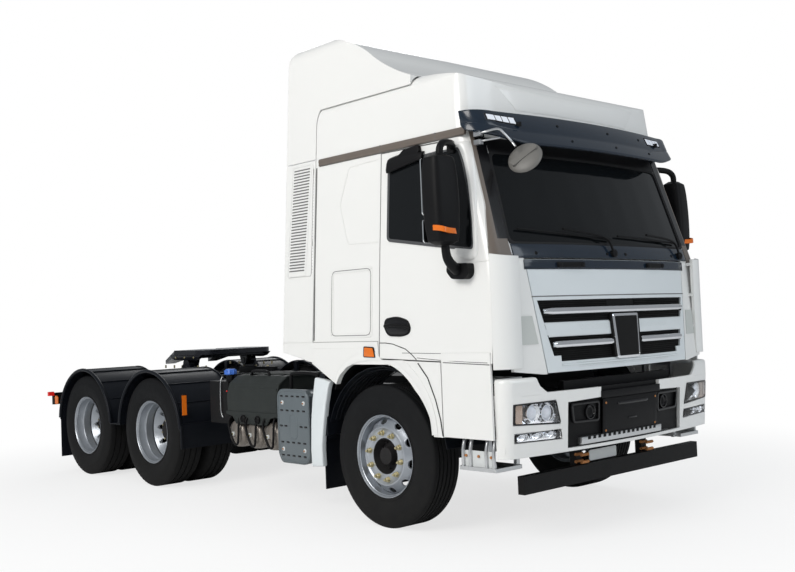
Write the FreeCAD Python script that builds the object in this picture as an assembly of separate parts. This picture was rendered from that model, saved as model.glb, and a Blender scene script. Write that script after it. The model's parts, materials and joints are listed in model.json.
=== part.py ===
import FreeCAD, Part
import math
import os
from FreeCAD import Vector

# A cab-over tractor unit with a steered front axle and a driven tandem at the rear.
# X points forward, Y to the vehicle's left and Z up. All sizes are in millimetres.
# Every x below is measured from the front axle. move_to_origin() shifts the whole vehicle,
# so that the origin ends up on the ground in the middle of the overall length.

# driving dimensions
wheelbase = 3300.0
bogie_spacing = 1350.0
front_overhang = 1338.0
rear_overhang = 850.0
cab_width = 2490.0
rolling_radius = 515.0
front_track = 2100.0
rear_track = 1810.0
dual_spacing = 340.0
frame_width = 860.0
frame_top = 970.0
frame_depth = 270.0
cab_tilt_x = 1100.0
cab_tilt_z = 800.0

# values shared by the whole vehicle
overrun = 30.0
running_gap = 0.3
pin_gap = 0.1
seat_gap = 0.3
panel_gap = 8.0
frame_bottom = frame_top - frame_depth
rear_axle_x = -wheelbase
last_axle_x = -wheelbase - bogie_spacing
rear_end_x = last_axle_x - rear_overhang
half_cab = cab_width / 2
half_frame = frame_width / 2
axle_z = rolling_radius
upright = Vector(0, 0, 1)


# helpers

def block(x0, x1, y0, y1, z0, z1):
    """A box between two values on each axis."""
    return Part.makeBox(x1 - x0, y1 - y0, z1 - z0, Vector(x0, y0, z0))


def wire_of(points, place):
    """A closed wire. A point is a pair, and a pair of pairs is an arc's middle and its end."""
    here = points[0]
    edges = []
    for step in list(points[1:]) + [points[0]]:
        if isinstance(step[0], tuple):
            middle, end = step
            edges.append(Part.Arc(place(here), place(middle), place(end)).toShape())
            here = end
        elif step != here:
            edges.append(Part.LineSegment(place(here), place(step)).toShape())
            here = step
    return Part.Wire(edges)


def prism_y(points, y0, y1):
    """An outline in the XZ plane, drawn out along Y."""
    face = Part.Face(wire_of(points, lambda p: Vector(p[0], y0, p[1])))
    return face.extrude(Vector(0, y1 - y0, 0))


def prism_x(points, x0, x1):
    """An outline in the YZ plane, drawn out along X."""
    face = Part.Face(wire_of(points, lambda p: Vector(x0, p[0], p[1])))
    return face.extrude(Vector(x1 - x0, 0, 0))


def prism_z(points, z0, z1):
    """An outline in the XY plane, drawn out along Z."""
    face = Part.Face(wire_of(points, lambda p: Vector(p[0], p[1], z0)))
    return face.extrude(Vector(0, 0, z1 - z0))


bar_sides = 8
rod_sides = 8
bend_share = 0.4


def bar_between(start, end, radius, sides):
    """A bar with a flat-sided section between two points."""
    run = end - start
    frame = FreeCAD.Rotation(Vector(0, 0, 1), run)
    turn = 2 * math.pi / sides
    ring = [start + frame.multVec(Vector(radius * math.cos((i + 0.5) * turn), radius * math.sin((i + 0.5) * turn), 0))
            for i in range(sides)]
    return Part.Face(Part.makePolygon(ring + ring[:1])).extrude(run)


def bar_y(radius, x, z, y0, y1):
    """A flat-sided bar across the vehicle."""
    return bar_between(Vector(x, y0, z), Vector(x, y1, z), radius, bar_sides)


def bar_x(radius, y, z, x0, x1):
    """A flat-sided bar along the vehicle."""
    return bar_between(Vector(x0, y, z), Vector(x1, y, z), radius, bar_sides)


def bar_z(radius, x, y, z0, z1):
    """An upright flat-sided bar."""
    return bar_between(Vector(x, y, z0), Vector(x, y, z1), radius, bar_sides)


def shaft_y(radius, x, z, y0, y1):
    """A true cylinder across the vehicle, for a pin, a spindle or its bore."""
    return Part.makeCylinder(radius, y1 - y0, Vector(x, y0, z), Vector(0, 1, 0))


def shaft_z(radius, x, y, z0, z1):
    """A true upright cylinder, for a pin or its bore."""
    return Part.makeCylinder(radius, z1 - z0, Vector(x, y, z0), upright)


def bent_bar(points, radius):
    """A bent bar: straight runs that overlap at each bend."""
    pieces = []
    for start, end in zip(points, points[1:]):
        reach = (end - start).normalize() * radius * bend_share
        pieces.append(bar_between(start - reach, end + reach, radius, rod_sides))
    return fused(pieces)


def fused(pieces):
    """Pieces welded into one solid, with the seams between flush faces removed."""
    return pieces[0].multiFuse(pieces[1:]).removeSplitter() if len(pieces) > 1 else pieces[0]


def mirrored(shape):
    """The same piece on the vehicle's other side."""
    return shape.mirror(Vector(0, 0, 0), Vector(0, 1, 0))


def pair(shape):
    """A piece and its twin on the other side."""
    return [shape, mirrored(shape)]


def common(a, b):
    return a.common(b)


NODES = {}


def node(name, shapes):
    """Keeps the solids of one node."""
    kept = shapes if isinstance(shapes, list) else [shapes]
    solids = [solid for shape in kept for solid in shape.Solids]
    NODES[name] = [solid if solid.Volume > 0 else solid.reversed() for solid in solids]


# road wheels: a tyre on a steel rim, with the rim's disc bolted to a hub

wheel_sides = 20
hub_sides = 12
tyre_width = 292.0
tread_width = 236.0
widest_radius = 400.0
rim_seat_radius = 286.0
rim_flange_radius = 298.5
rim_bore_radius = 272.0
rim_width = 229.0
rim_flange = 13.0
rim_lip = 1.0
disc_thickness = 14.0
disc_hole_radius = 27.0
disc_hole_circle = 231.0
disc_hole_count = 10
disc_hole_sides = 6
hub_hole_radius = 130.0
hub_spigot_radius = 120.0
hub_flange_radius = 185.0
hub_flange = 18.0
hub_barrel_radius = 95.0
drum_radius = 205.0
spindle_radius = 34.0
front_centre_y = front_track / 2
rear_outer_y = (rear_track + dual_spacing) / 2
rear_inner_y = (rear_track - dual_spacing) / 2
rear_disc_y = rear_track / 2
front_disc_y = front_centre_y + rim_width / 2
hand_hole_step = 360.0 / disc_hole_count


def wheel_turned(profile, x, sides, z=axle_z):
    """A closed profile of (radius, y) pairs, turned in flat steps round a wheel's axis, a flat at the bottom."""
    turn = 2 * math.pi / sides
    stretch = 1 / math.cos(turn / 2)
    def corner(r, y, i):
        a = (i + 0.5) * turn
        return Vector(x + r * stretch * math.sin(a), y, z - r * stretch * math.cos(a))
    faces = []
    for (r0, y0), (r1, y1) in zip(profile, profile[1:] + profile[:1]):
        if r0 == 0 and r1 == 0:
            continue
        for i in range(sides):
            ring = [corner(r0, y0, i), corner(r0, y0, i + 1), corner(r1, y1, i + 1), corner(r1, y1, i)]
            if r0 == 0:
                ring = ring[1:]
            elif r1 == 0:
                ring = ring[:3]
            faces.append(Part.Face(Part.makePolygon(ring + ring[:1])))
    solid = Part.makeSolid(Part.makeShell(faces))
    if solid.Volume < 0:
        solid.reverse()
    return solid


def tyre(x, y):
    """A tyre round its rim: bulging sidewalls and a flat tread."""
    return wheel_turned([
        (rim_seat_radius + seat_gap, y - rim_width / 2),
        (widest_radius, y - tyre_width / 2),
        (rolling_radius, y - tread_width / 2),
        (rolling_radius, y + tread_width / 2),
        (widest_radius, y + tyre_width / 2),
        (rim_seat_radius + seat_gap, y + rim_width / 2),
    ], x, wheel_sides)


def rim(x, y):
    """A rim: two flared flanges and the seat between them."""
    half = rim_width / 2
    return wheel_turned([
        (rim_bore_radius, y - half - rim_flange),
        (rim_flange_radius, y - half - rim_flange),
        (rim_seat_radius, y - half - rim_lip),
        (rim_seat_radius, y + half + rim_lip),
        (rim_flange_radius, y + half + rim_flange),
        (rim_bore_radius, y + half + rim_flange),
    ], x, wheel_sides)


def wheel_disc(x, mount_y, rim_y):
    """A disc: flat where the nuts seat, then a cone that runs to the rim, with hand holes."""
    foot = hub_flange_radius + disc_thickness
    edge = rim_bore_radius + disc_thickness / 4
    plate = wheel_turned([
        (hub_hole_radius, mount_y),
        (foot, mount_y),
        (edge, rim_y),
        (edge, rim_y + disc_thickness),
        (foot, mount_y + disc_thickness),
        (hub_hole_radius, mount_y + disc_thickness),
    ], x, hub_sides)
    low, high = sorted((mount_y, rim_y))
    for i in range(disc_hole_count):
        a = math.radians(i * hand_hole_step)
        hx = x + disc_hole_circle * math.sin(a)
        hz = axle_z + disc_hole_circle * math.cos(a)
        turn = 2 * math.pi / disc_hole_sides
        ring = [Vector(hx + disc_hole_radius * math.sin(a + k * turn), low - overrun,
                       hz + disc_hole_radius * math.cos(a + k * turn)) for k in range(disc_hole_sides)]
        cutter = Part.Face(Part.makePolygon(ring + ring[:1])).extrude(Vector(0, high - low + 3 * overrun, 0))
        plate = plate.cut(cutter)
    return plate


front_disc_rim_y = front_disc_y - 62.0
front_hub_end = front_disc_y + 32.0
drum_inner_y = front_centre_y - 95.0
drum_outer_y = front_centre_y + 55.0
kingpin_y = 885.0
spindle_reach = front_centre_y + 60.0


def front_rim():
    """Left front wheel: rim, outward disc, hub and brake drum as one bolted-up piece."""
    hub = wheel_turned([
        (0, drum_inner_y + disc_thickness),
        (drum_radius, drum_inner_y + disc_thickness),
        (drum_radius, drum_outer_y),
        (hub_barrel_radius, drum_outer_y),
        (hub_flange_radius, front_disc_y - hub_flange),
        (hub_flange_radius, front_disc_y),
        (hub_spigot_radius, front_disc_y),
        (hub_barrel_radius, front_hub_end),
        (0, front_hub_end),
    ], 0, hub_sides)
    bore = shaft_y(spindle_radius + pin_gap, 0, axle_z, drum_inner_y - overrun, spindle_reach + running_gap)
    disc = wheel_disc(0, front_disc_y - seat_gap, front_disc_rim_y)
    return fused([rim(0, front_centre_y), disc, hub.cut(bore)])


axle_tube_radius = 78.0
axle_tube_end = 640.0
rear_spindle_radius = 50.0
rear_spindle_end = 800.0
rear_drum_inner_y = 665.0
rear_drum_outer_y = 830.0
rear_hub_end = 1045.0
rear_cap_radius = 112.0


def rear_rims(x):
    """Left rear wheel pair: two rims on one hub, with the brake drum inside."""
    hub = wheel_turned([
        (0, rear_drum_inner_y),
        (drum_radius, rear_drum_inner_y),
        (drum_radius, rear_drum_outer_y),
        (hub_flange_radius, rear_disc_y - hub_flange),
        (hub_flange_radius, rear_disc_y),
        (rear_cap_radius, rear_disc_y),
        (rear_cap_radius, rear_hub_end),
        (0, rear_hub_end),
    ], x, hub_sides)
    bore = shaft_y(rear_spindle_radius + pin_gap, x, axle_z,
                 rear_drum_inner_y - overrun, rear_spindle_end + running_gap)
    outer = wheel_disc(x, rear_disc_y - seat_gap, rear_outer_y - rim_width / 4)
    web = wheel_turned([
        (drum_radius - rim_flange, rear_inner_y + rim_width / 4),
        (rim_bore_radius + disc_thickness / 4, rear_inner_y + rim_width / 4),
        (rim_bore_radius + disc_thickness / 4, rear_inner_y + rim_width / 4 + disc_thickness),
        (drum_radius - rim_flange, rear_inner_y + rim_width / 4 + disc_thickness),
    ], x, hub_sides)
    return fused([rim(x, rear_outer_y), rim(x, rear_inner_y), outer, web, hub.cut(bore)])


def make_wheels():
    front_tyre = tyre(0, front_centre_y)
    rim_left = front_rim()
    node("front_tyre_left", front_tyre)
    node("front_tyre_right", mirrored(front_tyre))
    node("front_rim_left", rim_left)
    node("front_rim_right", mirrored(rim_left))
    for label, x in (("mid", rear_axle_x), ("rear", last_axle_x)):
        tyres = [tyre(x, rear_inner_y), tyre(x, rear_outer_y)]
        rims = rear_rims(x)
        node(label + "_tyres_left", tyres)
        node(label + "_tyres_right", [mirrored(t) for t in tyres])
        node(label + "_rims_left", rims)
        node(label + "_rims_right", mirrored(rims))


# chassis frame: two channel rails, cross members, the cab's pivot plates and its rear rest

rail_flange = 80.0
rail_web = 9.0
rail_front_x = 1150.0
cross_x = (900.0, -1500.0, -2300.0, last_axle_x + bogie_spacing / 2, rear_end_x + 120.0)
cross_width = 90.0
cross_depth = 170.0
end_plate = 12.0
pivot_plate_width = 150.0
pivot_pin_radius = 22.0
pivot_eye_radius = 45.0
pivot_arm_y = half_frame + 35.0
pivot_arm_width = 50.0
rest_x = -560.0
rest_width = 110.0
rest_post = 90.0
rest_half_span = 560.0
rest_beam = 90.0
floor_z = 1180.0


def rail():
    """The left rail, a channel open towards the middle."""
    web_y = half_frame - rail_web
    inner_y = half_frame - rail_flange
    profile = [
        (inner_y, frame_bottom),
        (half_frame, frame_bottom),
        (half_frame, frame_top),
        (inner_y, frame_top),
        (inner_y, frame_top - rail_web),
        (web_y, frame_top - rail_web),
        (web_y, frame_bottom + rail_web),
        (inner_y, frame_bottom + rail_web),
    ]
    return prism_x(profile, rear_end_x + end_plate, rail_front_x)


def make_frame():
    """Rails, cross members, pivot plates for the cab and the arch that the cab's rear rests on."""
    web_y = half_frame - rail_web
    pieces = pair(rail())
    for x in cross_x:
        low = frame_top - cross_depth
        tall = block(x, x + cross_width, -web_y, web_y, low, frame_top - rail_web)
        hollow = block(x + rail_web, x + cross_width + overrun, -web_y - overrun, web_y + overrun,
                       low + rail_web, frame_top - 2 * rail_web)
        pieces.append(tall.cut(hollow))
    pieces.append(block(rear_end_x, rear_end_x + end_plate, -half_frame, half_frame, frame_bottom, frame_top))
    pin = bar_y(pivot_pin_radius, cab_tilt_x, cab_tilt_z, web_y, pivot_arm_y + pivot_arm_width / 2 + rail_web)
    rest_y = half_frame - rail_flange
    post = block(rest_x, rest_x + rest_width, rest_y, rest_y + rest_post, frame_top, floor_z - rest_beam - seat_gap)
    beam = block(rest_x, rest_x + rest_width, -rest_half_span, rest_half_span,
                 floor_z - rest_beam - seat_gap, floor_z - seat_gap)
    pieces += pair(pin) + pair(post) + [beam]
    node("frame", fused(pieces))


# front axle: a dropped beam with kingpin eyes, hung on leaf springs

beam_z = 420.0
beam_depth = 90.0
beam_width = 100.0
beam_kink_y = 560.0
kingpin_radius = 24.0
eye_radius = 48.0
eye_height = 120.0
ear_height = 46.0
ear_gap = 1.0
spring_width = 80.0
spring_y = half_frame - rail_flange / 2
spring_half = 760.0
spring_sag = 95.0
spring_stack = 62.0
spring_seat_z = beam_z + beam_depth + 12.0
hanger_width = 70.0
hanger_thick = 60.0


def leaf_spring(x, seat_z, stack, half_length, rise):
    """A stack of leaves, bowed so that its ends stand higher than its middle."""
    end_stack = stack / 4
    top_end = seat_z + rise + end_stack
    return prism_y([
        (x - half_length, seat_z + rise),
        ((x, seat_z), (x + half_length, seat_z + rise)),
        (x + half_length, top_end),
        ((x, seat_z + stack), (x - half_length, top_end)),
    ], spring_y - spring_width / 2, spring_y + spring_width / 2)


def make_front_axle():
    """The beam between the two kingpin eyes, and the springs with their hangers under the rails."""
    half_w = beam_width / 2
    eye_low = axle_z - eye_height / 2
    section = [
        (-beam_kink_y, beam_z),
        (beam_kink_y, beam_z),
        (kingpin_y, eye_low + beam_depth / 4),
        (kingpin_y, axle_z + beam_depth / 4),
        (beam_kink_y, beam_z + beam_depth),
        (-beam_kink_y, beam_z + beam_depth),
        (-kingpin_y, axle_z + beam_depth / 4),
        (-kingpin_y, eye_low + beam_depth / 4),
    ]
    beam = prism_x(section, -half_w, half_w)
    eyes = pair(bar_z(eye_radius, 0, kingpin_y, eye_low, eye_low + eye_height))
    bores = pair(shaft_z(kingpin_radius + pin_gap, 0, kingpin_y, eye_low - overrun, axle_z + eye_height))
    ear_room = pair(block(-beam_width, beam_width, kingpin_y - eye_radius, kingpin_y + beam_width,
                          axle_z - eye_height * 2, eye_low))
    body = fused([beam] + eyes)
    for cutter in bores + ear_room:
        body = body.cut(cutter)
    seat = block(-half_w, half_w, spring_y - spring_width / 2, spring_y + spring_width / 2,
                 beam_z + beam_depth / 2, spring_seat_z + spring_stack / 2)
    spring = leaf_spring(0, spring_seat_z, spring_stack, spring_half, spring_sag)
    hangers = []
    for end in (-1, 1):
        x = end * (spring_half - hanger_thick)
        hangers.append(block(x - hanger_thick / 2, x + hanger_thick / 2, spring_y - hanger_width / 2,
                             spring_y + hanger_width / 2, spring_seat_z + spring_sag, frame_bottom))
    half = fused([seat, spring] + hangers)
    node("front_axle", fused([body, half, mirrored(half)]))


arm_length = 220.0
arm_width = 56.0
arm_thick = 34.0
arm_z = axle_z - eye_height / 2 - ear_gap - ear_height
tie_rod_radius = 20.0
ball_radius = 30.0
ball_stud_radius = 12.0
ball_stud_length = 26.0


def make_knuckle():
    """The left knuckle: two ears round the beam's eye, the kingpin, the wheel spindle and the steering arm."""
    half_eye = eye_height / 2
    low = axle_z - half_eye - ear_gap - ear_height
    high = axle_z + half_eye + ear_gap + ear_height
    ears = [
        bar_z(eye_radius, 0, kingpin_y, low, low + ear_height),
        bar_z(eye_radius, 0, kingpin_y, high - ear_height, high),
    ]
    pin = shaft_z(kingpin_radius, 0, kingpin_y, low, high)
    yoke_in = kingpin_y + eye_radius + 2 * ear_gap
    yoke_out = drum_inner_y + disc_thickness - panel_gap / 2
    yoke = block(-eye_radius, eye_radius, yoke_in, yoke_out, low, high)
    bridges = [block(-eye_radius, eye_radius, kingpin_y, yoke_in, z, z + ear_height)
               for z in (low, high - ear_height)]
    spindle = shaft_y(spindle_radius, 0, axle_z, yoke_in, spindle_reach)
    arm = block(-arm_length, 0, kingpin_y - arm_width / 2, kingpin_y + arm_width / 2 - eye_radius / 2,
                low, low + arm_thick)
    stud = shaft_z(ball_stud_radius, -arm_length, kingpin_y, low - ball_stud_length, low + arm_thick)
    tip = bar_z(arm_width / 2, -arm_length, kingpin_y, low, low + arm_thick)
    return fused(ears + [pin, yoke] + bridges + [spindle, arm, tip, stud])


def make_steering():
    left = make_knuckle()
    node("knuckle_left", left)
    node("knuckle_right", mirrored(left))
    rod_z = arm_z - ball_stud_length / 2
    ends = pair(bar_z(ball_radius, -arm_length, kingpin_y, rod_z - tie_rod_radius, rod_z + ball_stud_length / 4))
    sockets = pair(shaft_z(ball_stud_radius + pin_gap, -arm_length, kingpin_y,
                         arm_z - ball_stud_length - running_gap, axle_z))
    rod = fused([bar_y(tie_rod_radius * 0.9, -arm_length, rod_z - ball_stud_length / 4, -kingpin_y, kingpin_y)] + ends)
    for socket in sockets:
        rod = rod.cut(socket)
    node("tie_rod", rod)


# driven tandem: two axle housings on long leaf springs that rock on a trunnion between them

bogie_spring_y = 530.0
bogie_spring_width = 90.0
bogie_spring_stack = 150.0
bogie_rise = 40.0
differential_radius = 215.0
differential_half = 150.0
trunnion_radius = 60.0
trunnion_x = (rear_axle_x + last_axle_x) / 2
torque_rod_radius = 26.0


def make_bogie():
    """Two housings, their springs, the trunnion and the brackets that carry it under the frame."""
    pieces = []
    for x in (rear_axle_x, last_axle_x):
        pieces.append(bar_y(axle_tube_radius, x, axle_z, -axle_tube_end, axle_tube_end))
        pieces += pair(shaft_y(rear_spindle_radius, x, axle_z, axle_tube_end, rear_spindle_end))
        pieces.append(wheel_turned([
            (0, -differential_radius),
            (differential_radius / 2, -differential_radius * 0.9),
            (differential_radius, -differential_radius / 3),
            (differential_radius, differential_radius / 3),
            (differential_radius / 2, differential_radius * 0.9),
            (0, differential_radius),
        ], x, hub_sides))
        pieces.append(bar_x(differential_half / 2, 0, axle_z, x, x + differential_radius + differential_half))
    seat_z = axle_z - bogie_spring_stack / 2 - bogie_rise
    top = seat_z + bogie_spring_stack
    spring = prism_y([
        (last_axle_x - bogie_spring_width, axle_z + axle_tube_radius / 2),
        ((trunnion_x, seat_z), (rear_axle_x + bogie_spring_width, axle_z + axle_tube_radius / 2)),
        (rear_axle_x + bogie_spring_width, axle_z + axle_tube_radius + bogie_rise),
        ((trunnion_x, top), (last_axle_x - bogie_spring_width, axle_z + axle_tube_radius + bogie_rise)),
    ], bogie_spring_y - bogie_spring_width / 2, bogie_spring_y + bogie_spring_width / 2)
    bracket = prism_y([
        (trunnion_x - 2 * trunnion_radius, seat_z),
        (trunnion_x + 2 * trunnion_radius, seat_z),
        (trunnion_x + 4 * trunnion_radius, frame_top - rail_web),
        (trunnion_x - 4 * trunnion_radius, frame_top - rail_web),
    ], half_frame, bogie_spring_y - bogie_spring_width / 2)
    cross_tube = bar_y(trunnion_radius, trunnion_x, seat_z + trunnion_radius, -half_frame, half_frame)
    pieces.append(bar_x(torque_rod_radius, 0, axle_z + trunnion_radius, last_axle_x, rear_axle_x))
    pieces += pair(spring) + pair(bracket) + [cross_tube]
    node("rear_bogie", fused(pieces))


# engine, gearbox and propeller shafts, as plain blocks and bars of their real size

engine_front_x = 760.0
engine_rear_x = -420.0
engine_half = 380.0
engine_low = 640.0
engine_high = 1370.0
sump_half = 190.0
sump_low = 530.0
gearbox_rear_x = -1350.0
gearbox_half = 210.0
gearbox_low = 600.0
gearbox_high = 1020.0
shaft_radius = 55.0
engine_narrow = 330.0


def make_powertrain():
    rail_in = half_frame - 2 * rail_web - seat_gap
    wide = block(engine_rear_x, engine_front_x, -engine_narrow, engine_narrow, frame_bottom, engine_high)
    sump = block(engine_rear_x + rail_flange, -beam_width, -sump_half, sump_half, sump_low, frame_bottom)
    gearbox = block(gearbox_rear_x, engine_rear_x, -gearbox_half, gearbox_half, gearbox_low, gearbox_high)
    shaft_x = rear_axle_x + differential_radius + differential_half
    start = Vector(gearbox_rear_x, 0, frame_bottom + shaft_radius / 3)
    stop = Vector(shaft_x + 2 * panel_gap, 0, axle_z + panel_gap)
    shaft = Part.makeCylinder(shaft_radius, (stop - start).Length, start, stop - start)
    mounts = []
    for x in (engine_front_x - rail_flange, engine_rear_x + rail_flange):
        mounts.append(block(x - rail_flange / 2, x + rail_flange / 2, -rail_in - rail_web, rail_in + rail_web,
                            frame_bottom + rail_flange, frame_bottom + 2 * rail_flange))
    node("powertrain", fused([wide, sump, gearbox, shaft] + mounts))


# cab envelope: plan outlines at several heights, lofted, then rounded off by the roof's profiles

corner_radius = 90.0
corner_steps = 4
bow_steps = 8
front_turn = math.radians(10.3)
cab_rear_x = -700.0
wall = 60.0
skin = 25.0
cab_stations = (
    (1100.0, 1315.0, 1250.0),
    (1880.0, 1262.0, 1205.0),
    (2760.0, 985.0, 1142.0),
    (3300.0, 925.0, 1105.0),
)
roof_z = 3235.0
roof_shoulder_z = 3060.0
roof_side = 1122.0
far_out = 2000.0


def cab_outline(z, front_x, half, inset, radius, rear_x):
    """A plan outline: straight sides, rounded front corners and a bowed front, all in short flats that stay level."""
    turn = front_turn
    chord = half - radius * (1 - math.sin(turn))
    centre_x = front_x - chord * math.tan(turn / 2) - radius * math.cos(turn)
    centre_y = half - radius
    r = radius - inset
    angles = [math.pi / 2 + (turn - math.pi / 2) * i / corner_steps for i in range(corner_steps + 1)]
    corner = [(centre_x + r * math.cos(a), centre_y + r * math.sin(a)) for a in angles]
    right = [(cx, -cy) for cx, cy in corner]
    bow_radius = chord / math.sin(turn)
    bow_x = front_x - bow_radius
    sweep = [turn * (2 * i / bow_steps - 1) for i in range(1, bow_steps)]
    bow = [(bow_x + (bow_radius - inset) * math.cos(a), (bow_radius - inset) * math.sin(a)) for a in sweep]
    points = [(rear_x, -corner[0][1])] + right + bow + corner[::-1] + [(rear_x, corner[0][1])]
    return wire_of(points, lambda p: Vector(p[0], p[1], z))


def cab_body(inset):
    """The cab's outer volume drawn in by the inset, up to the roof."""
    rear_x = cab_rear_x + inset
    wires = [cab_outline(z, x, y, inset, corner_radius, rear_x) for z, x, y in cab_stations]
    body = Part.makeLoft(wires, True, True)
    i = inset
    side_view = prism_y([
        (cab_rear_x - overrun, 1100.0),
        (1400.0, 1100.0),
        (1400.0, 2760.0),
        (1010.0 - i, 2760.0),
        (975.0 - i, 2930.0),
        ((925.0 - i, 3070.0 - i), (780.0, 3155.0 - i)),
        ((400.0, 3215.0 - i), (0, roof_z - i)),
        (-480.0, roof_z - i),
        ((-635.0 + i, 3170.0 - i), (cab_rear_x + i, 3000.0)),
        (cab_rear_x - overrun, 2900.0),
    ], -far_out, far_out)
    front_view = prism_x([
        (-far_out, 1100.0),
        (far_out, 1100.0),
        (far_out, 2700.0),
        (roof_side - i, roof_shoulder_z),
        ((roof_side - i - 38.0, 3180.0 - i), (roof_side - 140.0, roof_z - 8.0 - i)),
        ((0, roof_z + 12.0 - i), (140.0 - roof_side, roof_z - 8.0 - i)),
        ((38.0 - roof_side + i, 3180.0 - i), (i - roof_side, roof_shoulder_z)),
        (-far_out, 2700.0),
    ], -far_out, far_out)
    return body.common(side_view).common(front_view)


def grown(points, gap, centre):
    """An outline moved outwards by a gap on each axis, for the opening that a panel fits into."""
    out = []
    for p in points:
        if isinstance(p[0], tuple):
            out.append(tuple(grown(list(p), gap, centre)))
        else:
            out.append(tuple(v + gap * ((v > c) - (v < c)) for v, c in zip(p, centre)))
    return out


def door_outline(gap):
    points = [
        (66.0, 1224.0),
        (1137.0, 1190.0),
        (1137.0, 1835.0),
        (812.0, 2625.0),
        ((790.0, 2668.0), (748.0, 2690.0)),
        (66.0, 2700.0),
    ]
    return grown(points, gap, (700.0, 1900.0))


def door_window_outline(gap):
    points = [
        (215.0, 2060.0),
        (1015.0, 1925.0),
        (1032.0, 1950.0),
        (760.0, 2605.0),
        ((745.0, 2630.0), (720.0, 2637.0)),
        (215.0, 2600.0),
    ]
    return grown(points, gap, (600.0, 2250.0))


def screen_outline(gap):
    points = [
        (-1040.0, 1965.0),
        ((0, 1952.0), (1040.0, 1965.0)),
        (985.0, 2600.0),
        ((0, 2640.0), (-985.0, 2600.0)),
    ]
    return grown(points, gap, (0, 2300.0))


locker_x0 = -470.0
locker_x1 = -40.0
locker_z0 = 1400.0
locker_z1 = 1870.0
locker_depth = 420.0
cowl_z = 1890.0
wall_front_x = 1115.0
tunnel_half = 400.0
tunnel_top = 1445.0
tunnel_front_x = 880.0
floor_plate = 40.0
gutter_z = 2712.0
roof_wall = 26.0
gutter_height = 52.0


def side_slab(inner, outer):
    """The zone between two distances from the middle, on both sides."""
    return [block(-far_out, far_out, inner, outer, 0, 2 * far_out),
            block(-far_out, far_out, -outer, -inner, 0, 2 * far_out)]


def make_cab_shell():
    """Walls, roof, floor, engine tunnel and front bulkhead, with the door, lid and screen openings."""
    outer = cab_body(0)
    shell = outer.cut(cab_body(wall))
    shell = shell.cut(block(wall_front_x, far_out, -far_out, far_out, 0, cowl_z))
    shell = shell.cut(block(-far_out, far_out, -far_out, far_out, 0, floor_z))
    half_in = 1200.0
    inner_bound = cab_body(wall / 2)
    bulkhead = block(wall_front_x - wall, wall_front_x, -half_in, half_in, floor_z, cowl_z).common(outer)
    cowl = block(wall_front_x - wall, far_out, -half_in, half_in, cowl_z, cowl_z + skin).common(inner_bound)
    floor = block(cab_rear_x + wall / 2, wall_front_x - wall / 2, -half_in, half_in, floor_z, floor_z + floor_plate)
    tunnel = block(cab_rear_x, tunnel_front_x, -tunnel_half, tunnel_half, floor_z, tunnel_top)
    space = block(cab_rear_x - overrun, tunnel_front_x - floor_plate, floor_plate - tunnel_half,
                  tunnel_half - floor_plate, floor_z - overrun, tunnel_top - floor_plate)
    shell = fused([shell, bulkhead, cowl, floor, tunnel]).cut(space)
    door_cut = prism_y(door_outline(panel_gap), half_cab - 3 * wall, far_out)
    lid_cut = block(locker_x0 - panel_gap, locker_x1 + panel_gap, half_cab - 3 * wall, far_out,
                    locker_z0 - panel_gap, locker_z1 + panel_gap)
    sill_cut = block(extension_x0 - panel_gap, wall_front_x + panel_gap, half_cab - extension_skin - panel_gap, far_out,
                     0, cab_stations[0][0] + wall + skin + running_gap + extension_skin)
    for cutter in pair(door_cut) + pair(lid_cut) + pair(sill_cut):
        shell = shell.cut(cutter)
    shell = shell.cut(prism_x(screen_outline(0), 600.0, far_out))
    node("cab_shell", shell)
    return outer


glass_thickness = 10.0
glass_inset = 4.0


def make_glass(outer):
    """The windscreen and the door windows, cut from the envelope's own curved surface."""
    plate = cab_body(glass_inset).cut(cab_body(glass_inset + glass_thickness))
    node("windscreen", plate.common(prism_x(screen_outline(-seat_gap), 600.0, far_out)))
    for label, side in (("left", 1), ("right", -1)):
        reach = (half_cab - 3 * wall, far_out) if side > 0 else (-far_out, 3 * wall - half_cab)
        zone = prism_y(door_window_outline(-seat_gap), *reach)
        node("door_glass_" + label, plate.common(zone))


extension_z = 700.0
extension_x0 = 684.0
extension_x1 = 1124.0
extension_skin = 16.0
handle_x = 250.0
handle_z = 1447.0


def make_doors():
    """Each door: a slab of the wall's full depth with its window opening, and the panel below that hides the steps."""
    slab = cab_body(0).cut(cab_body(wall))
    zone = prism_y(door_outline(0), half_cab - 3 * wall, far_out)
    window = prism_y(door_window_outline(0), half_cab - 3 * wall, far_out)
    door = slab.common(zone).cut(window)
    recess = prism_y([
        (handle_x - 140.0, handle_z),
        ((handle_x - 100.0, handle_z + 68.0), (handle_x, handle_z + 72.0)),
        ((handle_x + 100.0, handle_z + 60.0), (handle_x + 140.0, handle_z - 8.0)),
        ((handle_x + 100.0, handle_z - 66.0), (handle_x, handle_z - 72.0)),
        ((handle_x - 100.0, handle_z - 60.0), (handle_x - 140.0, handle_z)),
    ], half_cab - skin / 2, far_out)
    door = door.cut(recess)
    panel = prism_y([
        (extension_x0, extension_z),
        (extension_x1, extension_z),
        (extension_x1, 1260.0),
        (extension_x0, 1260.0),
    ], half_cab - extension_skin, half_cab)
    grip = bar_x(9.0, side_width(handle_z) - 7.0, handle_z, handle_x - 135.0, handle_x + 125.0)
    door = fused([door, panel, grip])
    node("door_left", door)
    node("door_right", mirrored(door))


arch_outer = (
    (644.0, 695.0),
    ((500.0, 1150.0), (260.0, 1300.0)),
    ((0, 1345.0), (-260.0, 1330.0)),
    (-440.0, 1330.0),
)
skirt_z = 1350.0


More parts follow.
